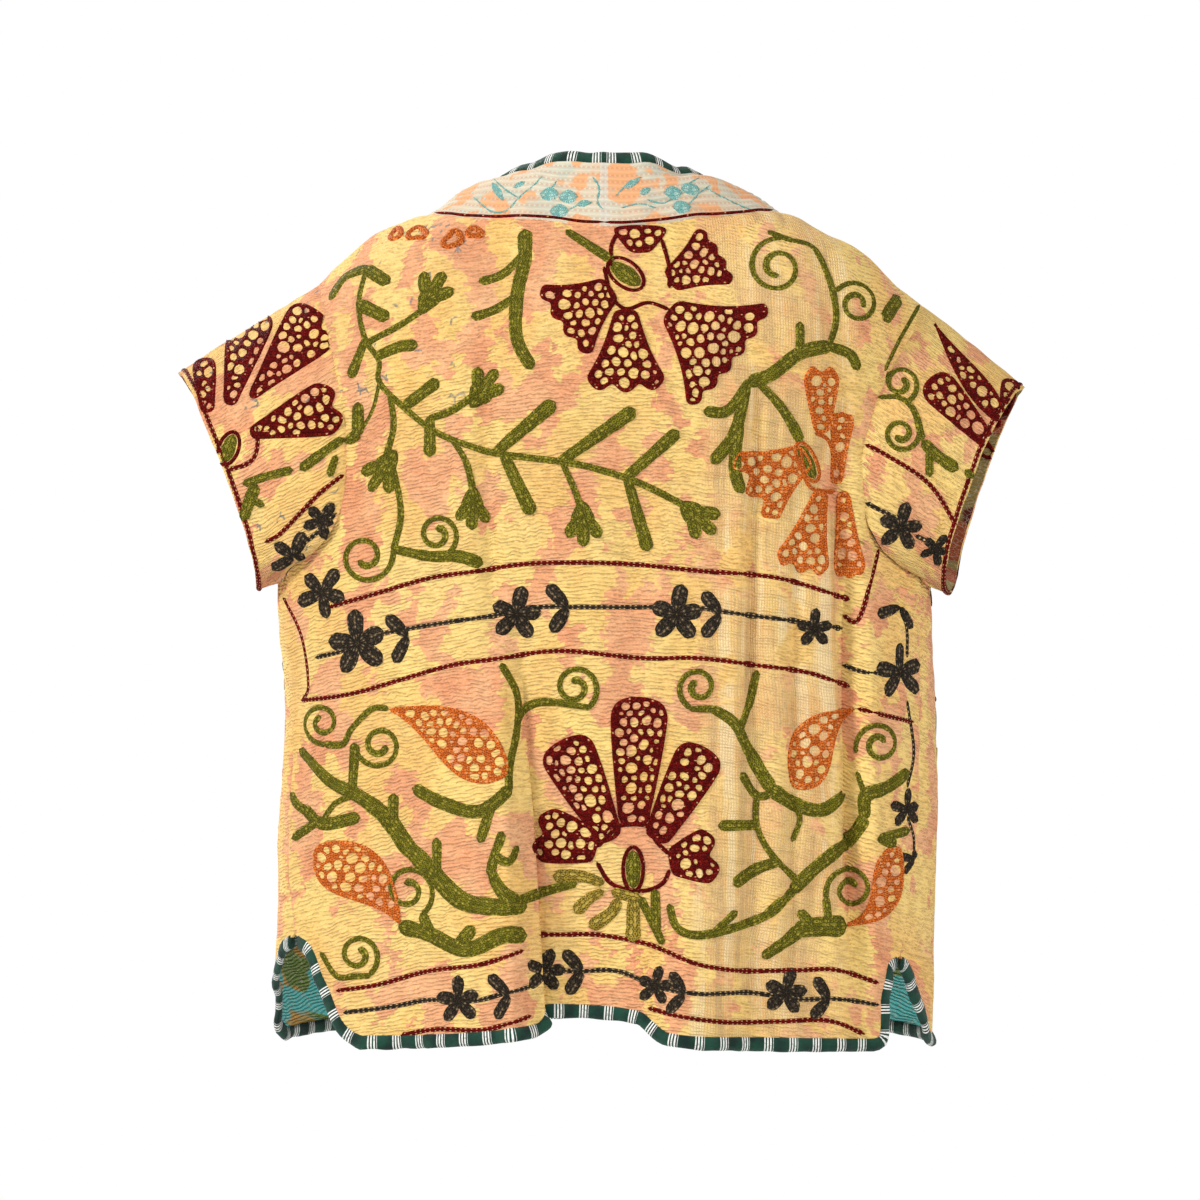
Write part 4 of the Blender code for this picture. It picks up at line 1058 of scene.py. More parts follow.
ROUND_LINE = body_line(-0.34)
ROUND_FAR = lengths(ROUND_LINE)


def from_behind(x, down):
    return (x, 0.6, -down), (0.0, -1.0, 0.0)


def from_before(x, down):
    return (x, -0.6, -down), (0.0, 1.0, 0.0)


def from_around(far, down):
    """`far` is how far round the body from the middle of the back, + toward the wearer's left."""
    before, place, ahead = (
        np.array([np.interp(abs(far) + move, ROUND_FAR, ROUND_LINE[:, k]) for k in range(2)])
        for move in (-0.004, 0.0, 0.004))
    run = ahead - before
    way = unit(np.array((-run[1], run[0])))
    side = 1.0 if far >= 0 else -1.0
    start = place + way * 0.09
    return (side * start[0], start[1], -down), (-side * way[0], -way[1], 0.0)


# Which way is right on the cloth, as it is seen from outside, in each kind of chart
RIGHTWARD = {from_behind: -1.0, from_before: 1.0, from_around: -1.0}


class Skein:
    """One colour of thread: gathers what is worked in it, as one piece."""

    def __init__(self, name):
        self.name, self.points, self.faces, self.places = name, [], [], []

    def add(self, points, faces, places):
        start = len(self.points)
        self.points += list(points)
        self.faces += [[k + start for k in face] for face in faces]
        self.places += [places[k] for face in faces for k in face]

    def finish(self, look):
        piece = new_piece(self.name, self.points, self.faces, self.places, (look,))
        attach(piece, "root")
        return piece


def soft_line(points, step=0.002):
    """A smooth curve through points of a chart, in metres, at even steps."""
    points = np.asarray(points, float)
    ends = np.concatenate([2 * points[:1] - points[1:2], points, 2 * points[-1:] - points[-2:-1]])
    rows = []
    for a, b, c, d in zip(ends, ends[1:], ends[2:], ends[3:]):
        t = np.linspace(0.0, 1.0, 14)[:-1, None]
        rows.append(0.5 * (2 * b + (c - a) * t + (2 * a - 5 * b + 4 * c - d) * t ** 2
                           + (3 * b - a - 3 * c + d) * t ** 3))
    return even_steps(np.concatenate(rows + [points[-1:]]), step, 4)


def work(skein, line, widths, where, rise=0.0009):
    """Works a band of stitches along a line of a chart. `widths` are at even steps from end to end
    and `where` is the chart with the start of the names of the pieces it is worked on."""
    chart, on = where
    runs = [[]]
    for place in line:
        met = GROUND.meet(*chart(*place))
        fits = met is not None and met[2].startswith(on)
        if runs[-1] and (not fits or np.linalg.norm(met[0] - runs[-1][-1][0]) > LEAP):
            runs.append([])
        if fits:
            runs[-1].append(met)
    for run in runs:
        if len(run) > 3:
            lay_band(skein, np.array([met[0] for met in run]), np.array([met[1] for met in run]),
                     widths, rise)


# Across a band: each row of points' share of half the width, and how far it stands out
WIDE_BAND = ((-1.0, -0.8, -0.35, 0.35, 0.8, 1.0), (-0.6, 0.75, 1.0, 1.0, 0.75, -0.6))
NARROW_BAND = ((-1.0, -0.62, 0.0, 0.62, 1.0), (-0.6, 0.6, 1.0, 0.6, -0.6))


def lay_band(skein, points, ways, widths, rise, closed=False):
    """A band of stitches along points of the cloth, half round across, with round ends."""
    for _ in range(3):
        ways[1:-1] = ways[:-2] + ways[1:-1] + ways[2:]
        ways = unit(ways)
        points[1:-1] = points[1:-1] * 0.6 + (points[:-2] + points[2:]) * 0.2
    along = unit(np.gradient(points, axis=0))
    side = unit(np.cross(ways, along))
    far = lengths(points)
    widths = np.atleast_1d(widths)
    wide = np.interp(np.linspace(0, 1, len(points)), np.linspace(0, 1, len(widths)), widths)
    wide = wide * (1.0 + 0.10 * unevenness(points, 0.006, 1.0, 4.0))
    if not closed:
        reach = np.maximum(wide / 2, 0.0008)
        to_end = np.minimum(far, far[-1] - far)
        wide = wide * np.sqrt(np.clip(1 - (1 - np.clip(to_end / reach, 0, 1)) ** 2, 0.02, 1))
    shares, lifts = WIDE_BAND if wide.max() > 0.0045 else NARROW_BAND
    rows = []
    for share, lift in zip(shares, lifts):
        row = points + side * (wide * share / 2)[:, None]
        if wide.max() > 0.005:
            for k, place in enumerate(row):
                met = GROUND.meet(place + ways[k] * 0.005, -ways[k], 0.010)
                if met is not None:
                    row[k] = met[0]
        rows.append(row + ways * (lift * rise))
    count = len(shares)
    number = max(round(float(wide.mean()) / STITCH_ROW), 1)
    across = (np.array(shares) + 1) / 2 * number * STITCH_ROW
    places = np.stack(np.broadcast_arrays(far[:, None], across), -1).reshape(-1, 2)
    faces = []
    for i in range(len(points) if closed else len(points) - 1):
        here, after = i * count, (i + 1) % len(points) * count
        faces += [(after + j, after + j + 1, here + j + 1, here + j) for j in range(count - 1)]
    skein.add(np.stack(rows, 1).reshape(-1, 3).tolist(), faces, places.tolist())


def turned(where, degrees):
    """A direction on a chart, seen from outside: 0 is to the right and 90 is up."""
    angle = np.radians(degrees)
    return np.stack([RIGHTWARD[where[0]] * np.cos(angle), -np.sin(angle)], -1)


def leaf(skein, start, way, length, width, curl, where):
    """A short, full leaf with a round end."""
    side = np.array((way[1], -way[0]))
    share = np.linspace(0.0, 1.0, 5)[:, None]
    line = start + way * length * share + side * curl * length * share ** 2
    work(skein, soft_line(line, LEAF_STEP), width * LEAF_SHAPE, where)


def spiral(skein, centre, radius, start, turns, hand, width, where):
    share = np.linspace(0.0, 1.0, int(26 * turns))
    reach = radius * (1.0 - 0.74 * share ** 0.8)
    line = centre + turned(where, start + hand * share * turns * 360) * reach[:, None]
    work(skein, soft_line(line, LEAF_STEP), width * TENDRIL_SHAPE, where)


def leaf_fan(skein, place, size, way, where):
    """Three leaves that part from one full foot."""
    foot = turned(where, way)
    line = soft_line([place + foot * size * share for share in (-0.12, 0.25, 0.62)], LEAF_STEP)
    work(skein, line, size * FOOT_SHAPE, where)
    for turn, share, curl in ((-42, 0.66, -0.10), (0, 0.78, 0.0), (42, 0.70, 0.10)):
        leaf(skein, place + foot * size * 0.24, turned(where, way + turn), size * share,
             size * 0.35, curl, where)


def flower(skein, place, size, way, where):
    """Five full petals round one point, the two that lie along the line a little longer."""
    for number, (share, curl) in enumerate(((1.0, 0.10), (0.86, -0.08), (0.95, 0.06),
                                            (0.92, -0.1), (0.84, 0.08))):
        out = turned(where, way + number * 72)
        leaf(skein, place + out * size * 0.02, out, size * share, size * 0.60, curl, where)


def chevron(skein, place, size, way, where):
    for turn in (52, -52):
        leaf(skein, place, turned(where, 180 + way + turn), size, size * 0.54, 0.0, where)


# ---------------------------------------------------------------- netted petals

def inside(places, outline):
    """Which places lie inside an outline."""
    x, y = places[:, 0][:, None], places[:, 1][:, None]
    a, b = outline, np.roll(outline, -1, axis=0)
    spans = (a[:, 1] > y) != (b[:, 1] > y)
    drop = np.where(np.abs(b[:, 1] - a[:, 1]) < 1e-12, 1e-12, b[:, 1] - a[:, 1])
    cross = a[:, 0] + (y - a[:, 1]) / drop * (b[:, 0] - a[:, 0])
    return ((spans & (x < cross)).sum(axis=1) % 2) == 1


def drawn_in(outline, amount):
    """The outline moved toward its inside."""
    ahead, behind = np.roll(outline, -1, axis=0), np.roll(outline, 1, axis=0)
    run = unit(ahead - behind)
    way = np.stack([-run[:, 1], run[:, 0]], -1)
    area = np.sum(outline[:, 0] * ahead[:, 1] - ahead[:, 0] * outline[:, 1])
    return outline + way * amount * (1.0 if area > 0 else -1.0)


def rounded(outline):
    for _ in range(2):
        ahead = np.roll(outline, -1, axis=0)
        outline = np.stack([0.75 * outline + 0.25 * ahead, 0.25 * outline + 0.75 * ahead],
                           1).reshape(-1, 2)
    return outline


def even_steps(line, step, fewest):
    """The same line with points at even steps."""
    far = lengths(line)
    even = np.linspace(0.0, far[-1], max(int(far[-1] / step), fewest) + 1)
    return np.stack([np.interp(even, far, line[:, k]) for k in range(2)], -1)


def net_holes(outline, chance):
    """The holes of a net: uneven cells in staggered rows, each reaching to the threads round it."""
    pitch = NET_PITCH
    low, high = outline.min(axis=0) - pitch, outline.max(axis=0) + pitch
    spots = np.array([(x + (row % 2) * pitch / 2, y)
                      for row, y in enumerate(np.arange(low[1], high[1], pitch * 0.86))
                      for x in np.arange(low[0], high[0], pitch)])
    spots = spots + (chance.random(spots.shape) - 0.5) * pitch * 0.64
    pull = (chance.random(len(spots)) - 0.5) * (pitch * 0.70) ** 2
    run = np.roll(outline, -1, axis=0) - outline
    holes = []
    for number in np.flatnonzero(inside(spots, outline)):
        spot = centre = spots[number]
        angle = chance.random() * 6.3 + np.linspace(0.0, 2 * math.pi, 11)[:-1]
        ways = np.stack([np.cos(angle), np.sin(angle)], -1)
        gaps = spots - spot
        span = (gaps ** 2).sum(axis=1)
        near = (span > 0) & (span < (2.6 * pitch) ** 2)
        facing = ways @ gaps[near].T
        half_thread = NET_THREAD * (0.7 + 0.9 * chance.random())
        for _ in range(3):
            half = (span + pull[number] - pull)[near] / 2 - gaps[near] @ (centre - spot)
            thread = np.where(facing > 1e-7, half / np.maximum(facing, 1e-7), 1.0).min(axis=1)
            to = outline - centre
            turn = ways[:, :1] * run[:, 1] - ways[:, 1:] * run[:, 0]
            turn = np.where(np.abs(turn) < 1e-9, 1e-9, turn)
            ahead = (to[:, 0] * run[:, 1] - to[:, 1] * run[:, 0]) / turn
            along = (to[:, 0] * ways[:, 1:] - to[:, 1] * ways[:, :1]) / turn
            rim = np.where((ahead > 0) & (along >= 0) & (along <= 1), ahead, 1.0).min(axis=1)
            reach = np.minimum(thread - half_thread, rim - NET_RIM)
            centre = centre + (ways * np.clip(reach, -pitch, pitch)[:, None]).mean(axis=0)
        centre = centre - (ways * np.clip(reach, -pitch, pitch)[:, None]).mean(axis=0)
        reach = np.minimum(reach, (np.roll(reach, 1) + np.roll(reach, -1)) / 2)
        reach = np.minimum(reach, 1.3 * np.median(reach))
        if reach.min() > SMALLEST_HOLE[0] and reach.mean() > SMALLEST_HOLE[1]:
            ring = centre + ways * reach[:, None]
            holes.append((ring, centre + ways * (reach + NET_SLOPE)[:, None]))
    return holes


def net(skein, outline, chance, where):
    """A shape of cord with a net of threads inside it, the cloth showing through its holes."""
    chart, on = where
    outline = rounded(outline)
    outline = even_steps(np.concatenate([outline, outline[:1]]), NET_STEP, 8)[:-1]
    holes = net_holes(outline, chance)
    loops = [outline, drawn_in(outline, NET_EDGE)] + [loop for pair in holes for loop in pair]
    heights = [-0.5, 0.9] + [-0.4, 0.62] * len(holes)
    sizes = [len(loop) for loop in loops]
    places, lifts = np.concatenate(loops), np.repeat(heights, sizes)
    owner = np.repeat(np.arange(len(loops)), sizes)
    edges, start = [], 0
    for size in sizes:
        edges += [(start + k, start + (k + 1) % size) for k in range(size)]
        start += size
    found = delaunay_2d_cdt([Vector(p) for p in places], edges, [], 0, 1e-7)
    source = [own[0] if own else None for own in found[3]]
    middle = np.array([sum((np.array(found[0][k]) for k in face), np.zeros(2)) / 3
                       for face in found[2]])
    met, faces = {}, []
    for face, fits in zip(found[2], inside(middle, outline)):
        corners = [source[k] for k in face]
        if not fits or None in corners:
            continue
        first = owner[corners[0]]
        in_hole = first >= 2 and first % 2 == 0 and all(owner[k] == first for k in corners)
        if in_hole:
            continue
        for k in corners:
            if k not in met:
                met[k] = GROUND.meet(*chart(*places[k]))
        if any(met[k] is None or not met[k][2].startswith(on) for k in corners):
            continue
        sides = [np.linalg.norm(met[a][0] - met[b][0]) for a, b in zip(corners, corners[1:])]
        if max(sides) < NET_LEAP:
            faces.append(corners)
    order = {k: n for n, k in enumerate(sorted({k for face in faces for k in face}))}
    if not order:
        return
    points = [tuple(met[k][0] + met[k][1] * (lifts[k] * NET_RISE)) for k in order]
    outward = []
    for face in faces:
        a, b, c = (np.array(points[order[k]]) for k in face)
        straight = np.dot(np.cross(b - a, c - a), met[face[0]][1]) > 0
        outward.append([order[k] for k in (face if straight else face[::-1])])
    skein.add(points, outward, [tuple(places[k]) for k in order])
    cord = np.concatenate([drawn_in(outline, 0.0009)] * 2)[:len(outline) + 1]
    work(skein, cord, (0.0030, 0.0032), where, NET_RISE * 1.25)


def axis(start, end):
    """How far it is from one place to another, the way there and the way across it."""
    length = np.linalg.norm(end - start)
    way = (end - start) / length
    return length, way, np.array((-way[1], way[0]))


def petal(base, tip, base_width, tip_width, lobes, pointed=False):
    """The outline of a petal that opens from its base to a lobed tip."""
    length, way, side = axis(base, tip)
    t = np.linspace(0.0, 0.86, 9)
    bow = 0.10 if lobes < 3 else -0.10
    half = (base_width + (tip_width - base_width) * (t / 0.86) ** 1.15) / 2
    half = half * (1 + bow * np.sin(t * 3.6))
    left, right = (base + way * (t * length)[:, None] + side * (half * sign)[:, None]
                   for sign in (1, -1))
    s = np.linspace(0.0, 1.0, 9 * lobes + 1)[1:-1]
    out = length * (0.86 + 0.12 * np.sqrt(1 - (2 * s - 1) ** 2 * 0.96))
    if pointed:
        out = out + tip_width / lobes * 0.62 * (0.5 - 2 * np.abs(s * lobes % 1.0 - 0.5))
    elif lobes > 1:
        out = out + tip_width / lobes * 0.42 * (np.abs(np.sin(lobes * math.pi * s)) - 0.5)
    end = base + way * out[:, None] + side * ((0.5 - s) * tip_width * 1.04)[:, None]
    return np.concatenate([left, end, right[::-1]])


def drop(point, round_end, width, bend):
    """The outline of a bud shaped like a drop, with its point drawn to one side."""
    length, way, side = axis(point, round_end)
    t = np.linspace(0.0, 1.0, 18)
    half = width / 2 * np.sin(math.pi * t ** 1.35) ** 0.75 * (0.55 + 0.45 * t) * 1.12
    bow = bend * np.sin(math.pi * t) * (1 - t) * 1.6
    middle = point + way * (t * length)[:, None] + side * bow[:, None]
    return np.concatenate([middle + side * half[:, None], (middle - side * half[:, None])[-2:0:-1]])


def bud_loop(skein, centre, width, where):
    """A small loop of stitches, the cloth showing in it."""
    angle = np.linspace(0.0, 2 * math.pi, 25)[:-1]
    reach = 0.74 + 0.20 * np.sin(2 * angle + centre[0] * 300) + 0.14 * np.sin(3 * angle)
    reach = width / 2 * reach
    ring = centre + np.stack([np.cos(angle), np.sin(angle)], -1) * reach[:, None]
    work(skein, np.concatenate([ring, ring[:2]]), (0.0044, 0.0056, 0.0044), where, 0.0013)


def eye(rim, heart, centre, length, width, turn, where):
    """A full oval heart with a cord round it."""
    way = turned(where, turn)
    side = np.array((-way[1], way[0]))
    line = soft_line([centre + way * length * share for share in (-0.42, 0.0, 0.42)], LEAF_STEP)
    work(heart, line, width * HEART_SHAPE, where)
    angle = np.linspace(0.0, 2 * math.pi, 40)[:-1, None]
    ring = centre + way * np.cos(angle) * length / 2 + side * np.sin(angle) * width / 2
    work(rim, np.concatenate([ring, ring[:2]]), 0.0034, where, 0.0013)


# ---------------------------------------------------------------- finishes

class Wire:
    """A value between nodes, with the sums that nodes can do."""

    def __init__(self, finish, socket):
        self.finish, self.socket = finish, socket

    def __add__(self, other):
        return self.finish.sum("ADD", self, other)

    def __sub__(self, other):
        return self.finish.sum("SUBTRACT", self, other)

    def __rsub__(self, other):
        return self.finish.sum("SUBTRACT", other, self)

    def __mul__(self, other):
        return self.finish.sum("MULTIPLY", self, other)

    def __pow__(self, other):
        return self.finish.sum("POWER", self, other)

    def __abs__(self):
        return self.finish.sum("ABSOLUTE", self)

    def whole(self):
        return self.finish.sum("FLOOR", self)

    def rest(self):
        return self.finish.sum("FRACT", self)


class Finish:
    """A material built up from nodes, on a piece's own cloth coordinates u and v."""

    def __init__(self, name, roughness, sheen=0.0, specular=0.15):
        self.made = bpy.data.materials.new(name)
        self.made.use_nodes = True
        self.tree = self.made.node_tree
        self.shader = self.tree.nodes["Principled BSDF"]
        for socket, value in (("Roughness", roughness), ("Specular IOR Level", specular),
                              ("Sheen Weight", sheen), ("Sheen Roughness", 0.5)):
            self.shader.inputs[socket].default_value = value
        self.cloth = self.node("ShaderNodeUVMap", "UV", {}, uv_map="cloth")
        self.u, self.v = (self.node("ShaderNodeSeparateXYZ", axis, {0: self.cloth})
                          for axis in "XY")
        self.colour = None

    def link(self, value, socket):
        if isinstance(value, Wire):
            self.tree.links.new(value.socket, socket)
        elif isinstance(value, tuple) and socket.type == "RGBA":
            socket.default_value = (*value, 1.0)
        else:
            socket.default_value = value

    def node(self, kind, output, inputs, **settings):
        made = self.tree.nodes.new(kind)
        for name, value in settings.items():
            setattr(made, name, value)
        for name, value in inputs.items():
            self.link(value, made.inputs[name])
        return Wire(self, made.outputs[output])

    def sum(self, operation, *values):
        return self.node("ShaderNodeMath", 0, dict(enumerate(values)), operation=operation)

    def step(self, value, low, high):
        """0 below low, 1 above high, soft between; the other way round where low is above high."""
        rising = low < high
        return self.node("ShaderNodeMapRange", 0,
                         {"Value": value, "From Min": min(low, high), "From Max": max(low, high),
                          "To Min": float(not rising), "To Max": float(rising)},
                         interpolation_type="SMOOTHSTEP")

    def wave(self, value, period, shift=0.0):
        """0 to 1 and back over each period."""
        turned = self.sum("MULTIPLY_ADD", value, 2 * math.pi / period, shift)
        return self.sum("MULTIPLY_ADD", self.sum("SINE", turned), 0.5, 0.5)

    def at(self, *values):
        return self.node("ShaderNodeCombineXYZ", 0, dict(enumerate(values)))

    def cloud(self, where, scale, detail=2.0, roughness=0.5):
        return self.node("ShaderNodeTexNoise", "Fac", {"Vector": where, "Scale": scale,
                                                       "Detail": detail, "Roughness": roughness})

    def lumps(self, lot, scale, detail=2.0, roughness=0.5):
        """Noise on the cloth; each lot has its own."""
        return self.cloud(self.at(self.u, self.v, lot), scale, detail, roughness)

    def chance(self, *values):
        return self.node("ShaderNodeTexWhiteNoise", "Value", {"Vector": self.at(*values)},
                         noise_dimensions="3D")

    def cells(self, where, scale, feature="F1"):
        return self.node("ShaderNodeTexVoronoi", "Distance", {"Vector": where, "Scale": scale},
                         feature=feature)

    def mix(self, share, a, b, way="MIX"):
        return self.node("ShaderNodeMix", 2, {0: share, 6: a, 7: b}, data_type="RGBA",
                         blend_type=way)

    def lay(self, share, colour, way="MIX"):
        """Lays this share of another colour over the colour so far."""
        self.colour = self.mix(share, self.colour, colour, way)

    def done(self, height, depth, strength=1.0):
        bump = self.node("ShaderNodeBump", 0, {"Strength": strength, "Distance": depth,
                                               "Height": height})
        self.link(self.colour, self.shader.inputs["Base Color"])
        self.link(bump, self.shader.inputs["Normal"])
        return self.made


def quilted_look():
    """Yellow cloth patched with salmon, in close wavy rows of running stitches."""
    f = Finish("quilted_cloth", 0.88, 0.04)
    sway = (f.cloud(f.cloth, 30.0, 3.0, 0.55) - 0.5) * 0.0100
    zigzag = (f.wave(f.u + sway * 3.0, 0.0110) - 0.5) * (f.step(f.lumps(9.0, 16.0, 1.0), 0.42, 0.62)
                                                         * 0.0010)
    rows = f.v + sway + zigzag + (f.cloud(f.cloth, 150.0) - 0.5) * 0.0024
    whole = f.step(f.cloud(f.at(f.u, f.v * 3.0, 17.0), 120.0), 0.38, 0.60)
    ridge = f.wave(rows, ROW) * (whole * 0.7 + 0.3) + (1.0 - whole) * 0.35
    number = (rows * (1 / ROW)).whole()
    # each row of stitches slips a little, which steps the edges of the patches
    slip = (f.chance(number, (f.u * 28.0).whole()) - 0.5) * 0.0070
    slipped = f.u + slip
    salmon = f.step(f.cloud(f.at(slipped, rows * 0.62), 31.0, 2.0, 0.55), 0.515, 0.533)
    tint = f.cloud(f.at(slipped, rows * 0.5, 3.0), 19.0)
    f.colour = f.mix(salmon, f.mix(f.step(tint, 0.40, 0.62), YELLOW, GOLD),
                     f.mix(f.step(f.lumps(7.0, 24.0, 3.0), 0.38, 0.66), SALMON, PALE_SALMON))
    # a strip of open, golden gauze down the right of the back
    edge = f.u + (f.cloud(f.at(slip, f.v, 1.0), 22.0, 3.0) - 0.5) * 0.035
    gauze = f.step(edge, -0.186, -0.168) * f.step(edge, -0.062, -0.080) \
        * f.step(f.lumps(11.0, 26.0, 3.0), 0.36, 0.50)
    f.lay(gauze * 0.80, GAUZE)
    warm = f.step(f.cloud(f.at(slipped, f.v, 19.0), 34.0), 0.50, 0.60)
    f.lay(warm * (gauze * 0.55), GAUZE_ORANGE)
    # painted shade and painted highlight of vertical wrinkles, in soft streaks down the gauze
    drawn = f.cloud(f.at(f.u + sway * 0.4, f.v * 0.05, 13.0), 95.0, 3.0, 0.6)
    f.lay(f.step(drawn, 0.51, 0.62) * (gauze * 0.60), GAUZE_PAINTED_SHADE)
    f.lay(f.step(drawn, 0.48, 0.38) * (gauze * 0.55), GAUZE_PAINTED_HIGHLIGHT)
    grid = f.wave(f.u + sway * 0.5, 0.0019) ** 0.7 * f.wave(f.v + sway, 0.0021) ** 0.7
    # stitches run in the troughs between the rows
    dash = f.wave(f.u + f.chance(number, 0.0, 2.0) * 0.02, 0.0042)
    trough = f.step(ridge, 0.42, 0.06) * f.step(dash, 0.22, 0.55) * (1.0 - gauze * 0.8)
    worn = f.cloud(f.cloth, 45.0, 3.0, 0.6)
    f.lay(trough * f.step(worn, 0.30, 0.62) * 0.24,
          f.mix(salmon, STITCH_ON_YELLOW, STITCH_ON_SALMON))
    f.lay(f.step(grid, 0.34, 0.08) * (gauze * 0.50), GAUZE_GAP)
    # darker brown in soft lumps laid at random
    f.lay(f.step(f.lumps(5.0, 12.0, 4.0, 0.6), 0.30, 0.70) * 0.20, SOFT_BROWN_LUMPS)
    # worn flecks on the left shoulder
    fleck = f.step(f.cells(f.at(f.u, f.v, 2.0), 110.0, "DISTANCE_TO_EDGE"), 0.10, 0.05) \
        * f.step(f.lumps(15.0, 60.0), 0.63, 0.66)
    f.lay(fleck * (f.step(f.u, 0.075, 0.095) * f.step(f.v, -0.150, -0.120)) * 0.8, WORN)
    thread = f.cloud(f.at(f.u, f.v * 2.2), 620.0)
    f.lay(f.step(thread, 0.44, 0.62) * 0.16, PALE_THREAD)
    f.lay(f.step(thread, 0.46, 0.32) * 0.16, DARK_THREAD)
    f.lay(f.step(ridge, 0.5, 0.0) * 0.16, SHADOW, "MULTIPLY")
    height = ridge * (1.0 - gauze * 0.65) + grid * (gauze * 0.55) + thread * 0.35 + worn * 0.5
    return f.done(height - trough * 0.35, 0.0013, 0.85)


def inside_look(name, first, second, third, low=None):
    """The inner side: patches of older cloths with fine cracks, and the near-black `low` over all
    of it above a strip at the hem.
    """
    f = Finish(name, 0.85, 0.03)
    ridge = f.wave(f.v + f.cloud(f.cloth, 60.0, 1.0) * 0.006, ROW)
    patch = f.lumps(20.0, 14.0)
    if low:
        patch = patch - f.step(f.v, -0.506, -0.522) * 0.14
    f.colour = f.mix(f.step(patch, 0.47, 0.49), first,
                     f.mix(f.step(f.lumps(30.0, 17.0), 0.50, 0.52), second, third))
    if low:
        # near-black over the inside above a strip at the hem
        f.lay(f.step(f.v, -0.492, -0.476) * 0.85, low)
    f.lay(f.step(f.cells(f.cloth, 260.0, "DISTANCE_TO_EDGE"), 0.05, 0.02) * 0.55, CREAM)
    return f.done(ridge, 0.0010, 0.8)


def band_look():
    """Cream cloth with peach patches and specks of aqua, puffed between rows of stitches."""
    f = Finish("band_cloth", 0.88, 0.15)
    ridge = f.wave(f.v + (f.cloud(f.cloth, 50.0, 1.0) - 0.5) * 0.002, BAND_ROW, -math.pi / 2)
    f.colour = f.mix(f.step(f.cloud(f.at(f.u * 0.8, f.v, 4.0), 44.0), 0.515, 0.545), CREAM, PEACH)
    soft = f.cloud(f.cloth, 30.0, 3.0)
    f.lay(f.step(soft, 0.35, 0.7) * 0.35, PALE_SALMON)
    f.lay(f.step(f.cells(f.cloth, 120.0), 0.22, 0.10)
          * f.step(f.lumps(8.0, 25.0, 1.0), 0.56, 0.60) * 0.8, AQUA)
    f.lay(f.step(f.lumps(12.0, 38.0), 0.52, 0.62) * 0.45, BAND_GREY)
    f.lay(f.step(abs(f.u), 0.0036, 0.0028) * 0.85, BAND_MIDDLE)
    f.lay(f.step(ridge, 0.30, 0.03) * f.step(f.wave(f.u, 0.0040), 0.20, 0.5) * 0.40,
          STITCH_ON_SALMON)
    return f.done(ridge + f.cloud(f.cloth, 1000.0) * 0.25 + soft * 0.6, 0.0013, 0.9)


def trim_look():
    """Dark green binding with groups of three white lines across it."""
    f = Finish("striped_binding", 0.72, 0.1)
    share = (f.u * (1 / TRIM_REPEAT)).rest() * TRIM_REPEAT
    lines = f.step(abs(share - 0.005), 0.0034, 0.0030) \
        * f.step(f.wave(share, 0.0021, -5.0 * math.pi), 0.40, 0.60)
    f.colour = f.mix(f.step(f.cloud(f.cloth, 60.0, 3.0), 0.35, 0.68), GREEN_TRIM, DARK_TRIM)
    f.lay(lines * (f.step(f.cloud(f.cloth, 420.0), 0.36, 0.46) * 0.35 + 0.62), WHITE_LINE)
    thread = f.wave(f.v, 0.0007) * f.wave(f.u, 0.0007)
    return f.done(thread * 0.5 + f.cloud(f.cloth, 240.0, 3.0), 0.0006, 0.8)


def thread_look(name, tones, strand_shade, through, open_share, single):
    """Rows of chain stitch: each link an oval of two strands, with painted shade between the
    strands and where the thread goes down, and the cloth showing through some of the links. A
    single chain has longer links."""
    deep, full, light = tones
    f = Finish(name, 0.65, specular=0.05)
    rows = f.v * (1 / STITCH_ROW)
    number = rows.whole()
    across = abs(rows.rest() - 0.5)
    along = f.u * (1 / (0.0040 if single else 0.0033)) + f.chance(number, 0.0) * 0.9 \
        + (f.cloud(f.cloth, 240.0, 1.0) - 0.5) * 0.7
    share = abs(along.rest() - 0.5)
    lot = f.chance(number, along.whole(), 4.0)
    oval = f.sum("SQRT", (across * 2.1) ** 2.0 + (share * 2.0) ** 2.0)
    strand = f.step(oval, 0.20, 0.50) * f.step(oval, 1.12, 0.84)
    place = f.node("ShaderNodeTexCoord", "Object", {})
    f.colour = f.mix(f.step(f.cloud(place, 60.0, 3.0) * 0.6 + lot * 0.4, 0.36, 0.62), deep, full)
    f.lay(f.step(f.cloud(f.cloth, 430.0), 0.54, 0.66) * 0.60, light)
    # painted shade between the strands and in the middle of each link
    f.lay((1.0 - strand) * 0.80, strand_shade)
    hole = f.step(oval, *((0.44, 0.24) if single else (0.46, 0.28)))
    f.lay(hole * f.step(lot, 1.0 - open_share, 1.06 - open_share) * 0.85, through)
    return f.done(strand + f.wave(f.u + f.v * 0.9, 0.0011) * 0.30, 0.0009)


# ---------------------------------------------------------------- the embroidery, table by table

def overlapped(points, length=0.0016):
    """The same way, a little longer at both ends, so that a branch starts on its stem."""
    return [points[0] + unit(points[0] - points[1]) * length, *points[1:-1],
            points[-1] + unit(points[-1] - points[-2]) * length]


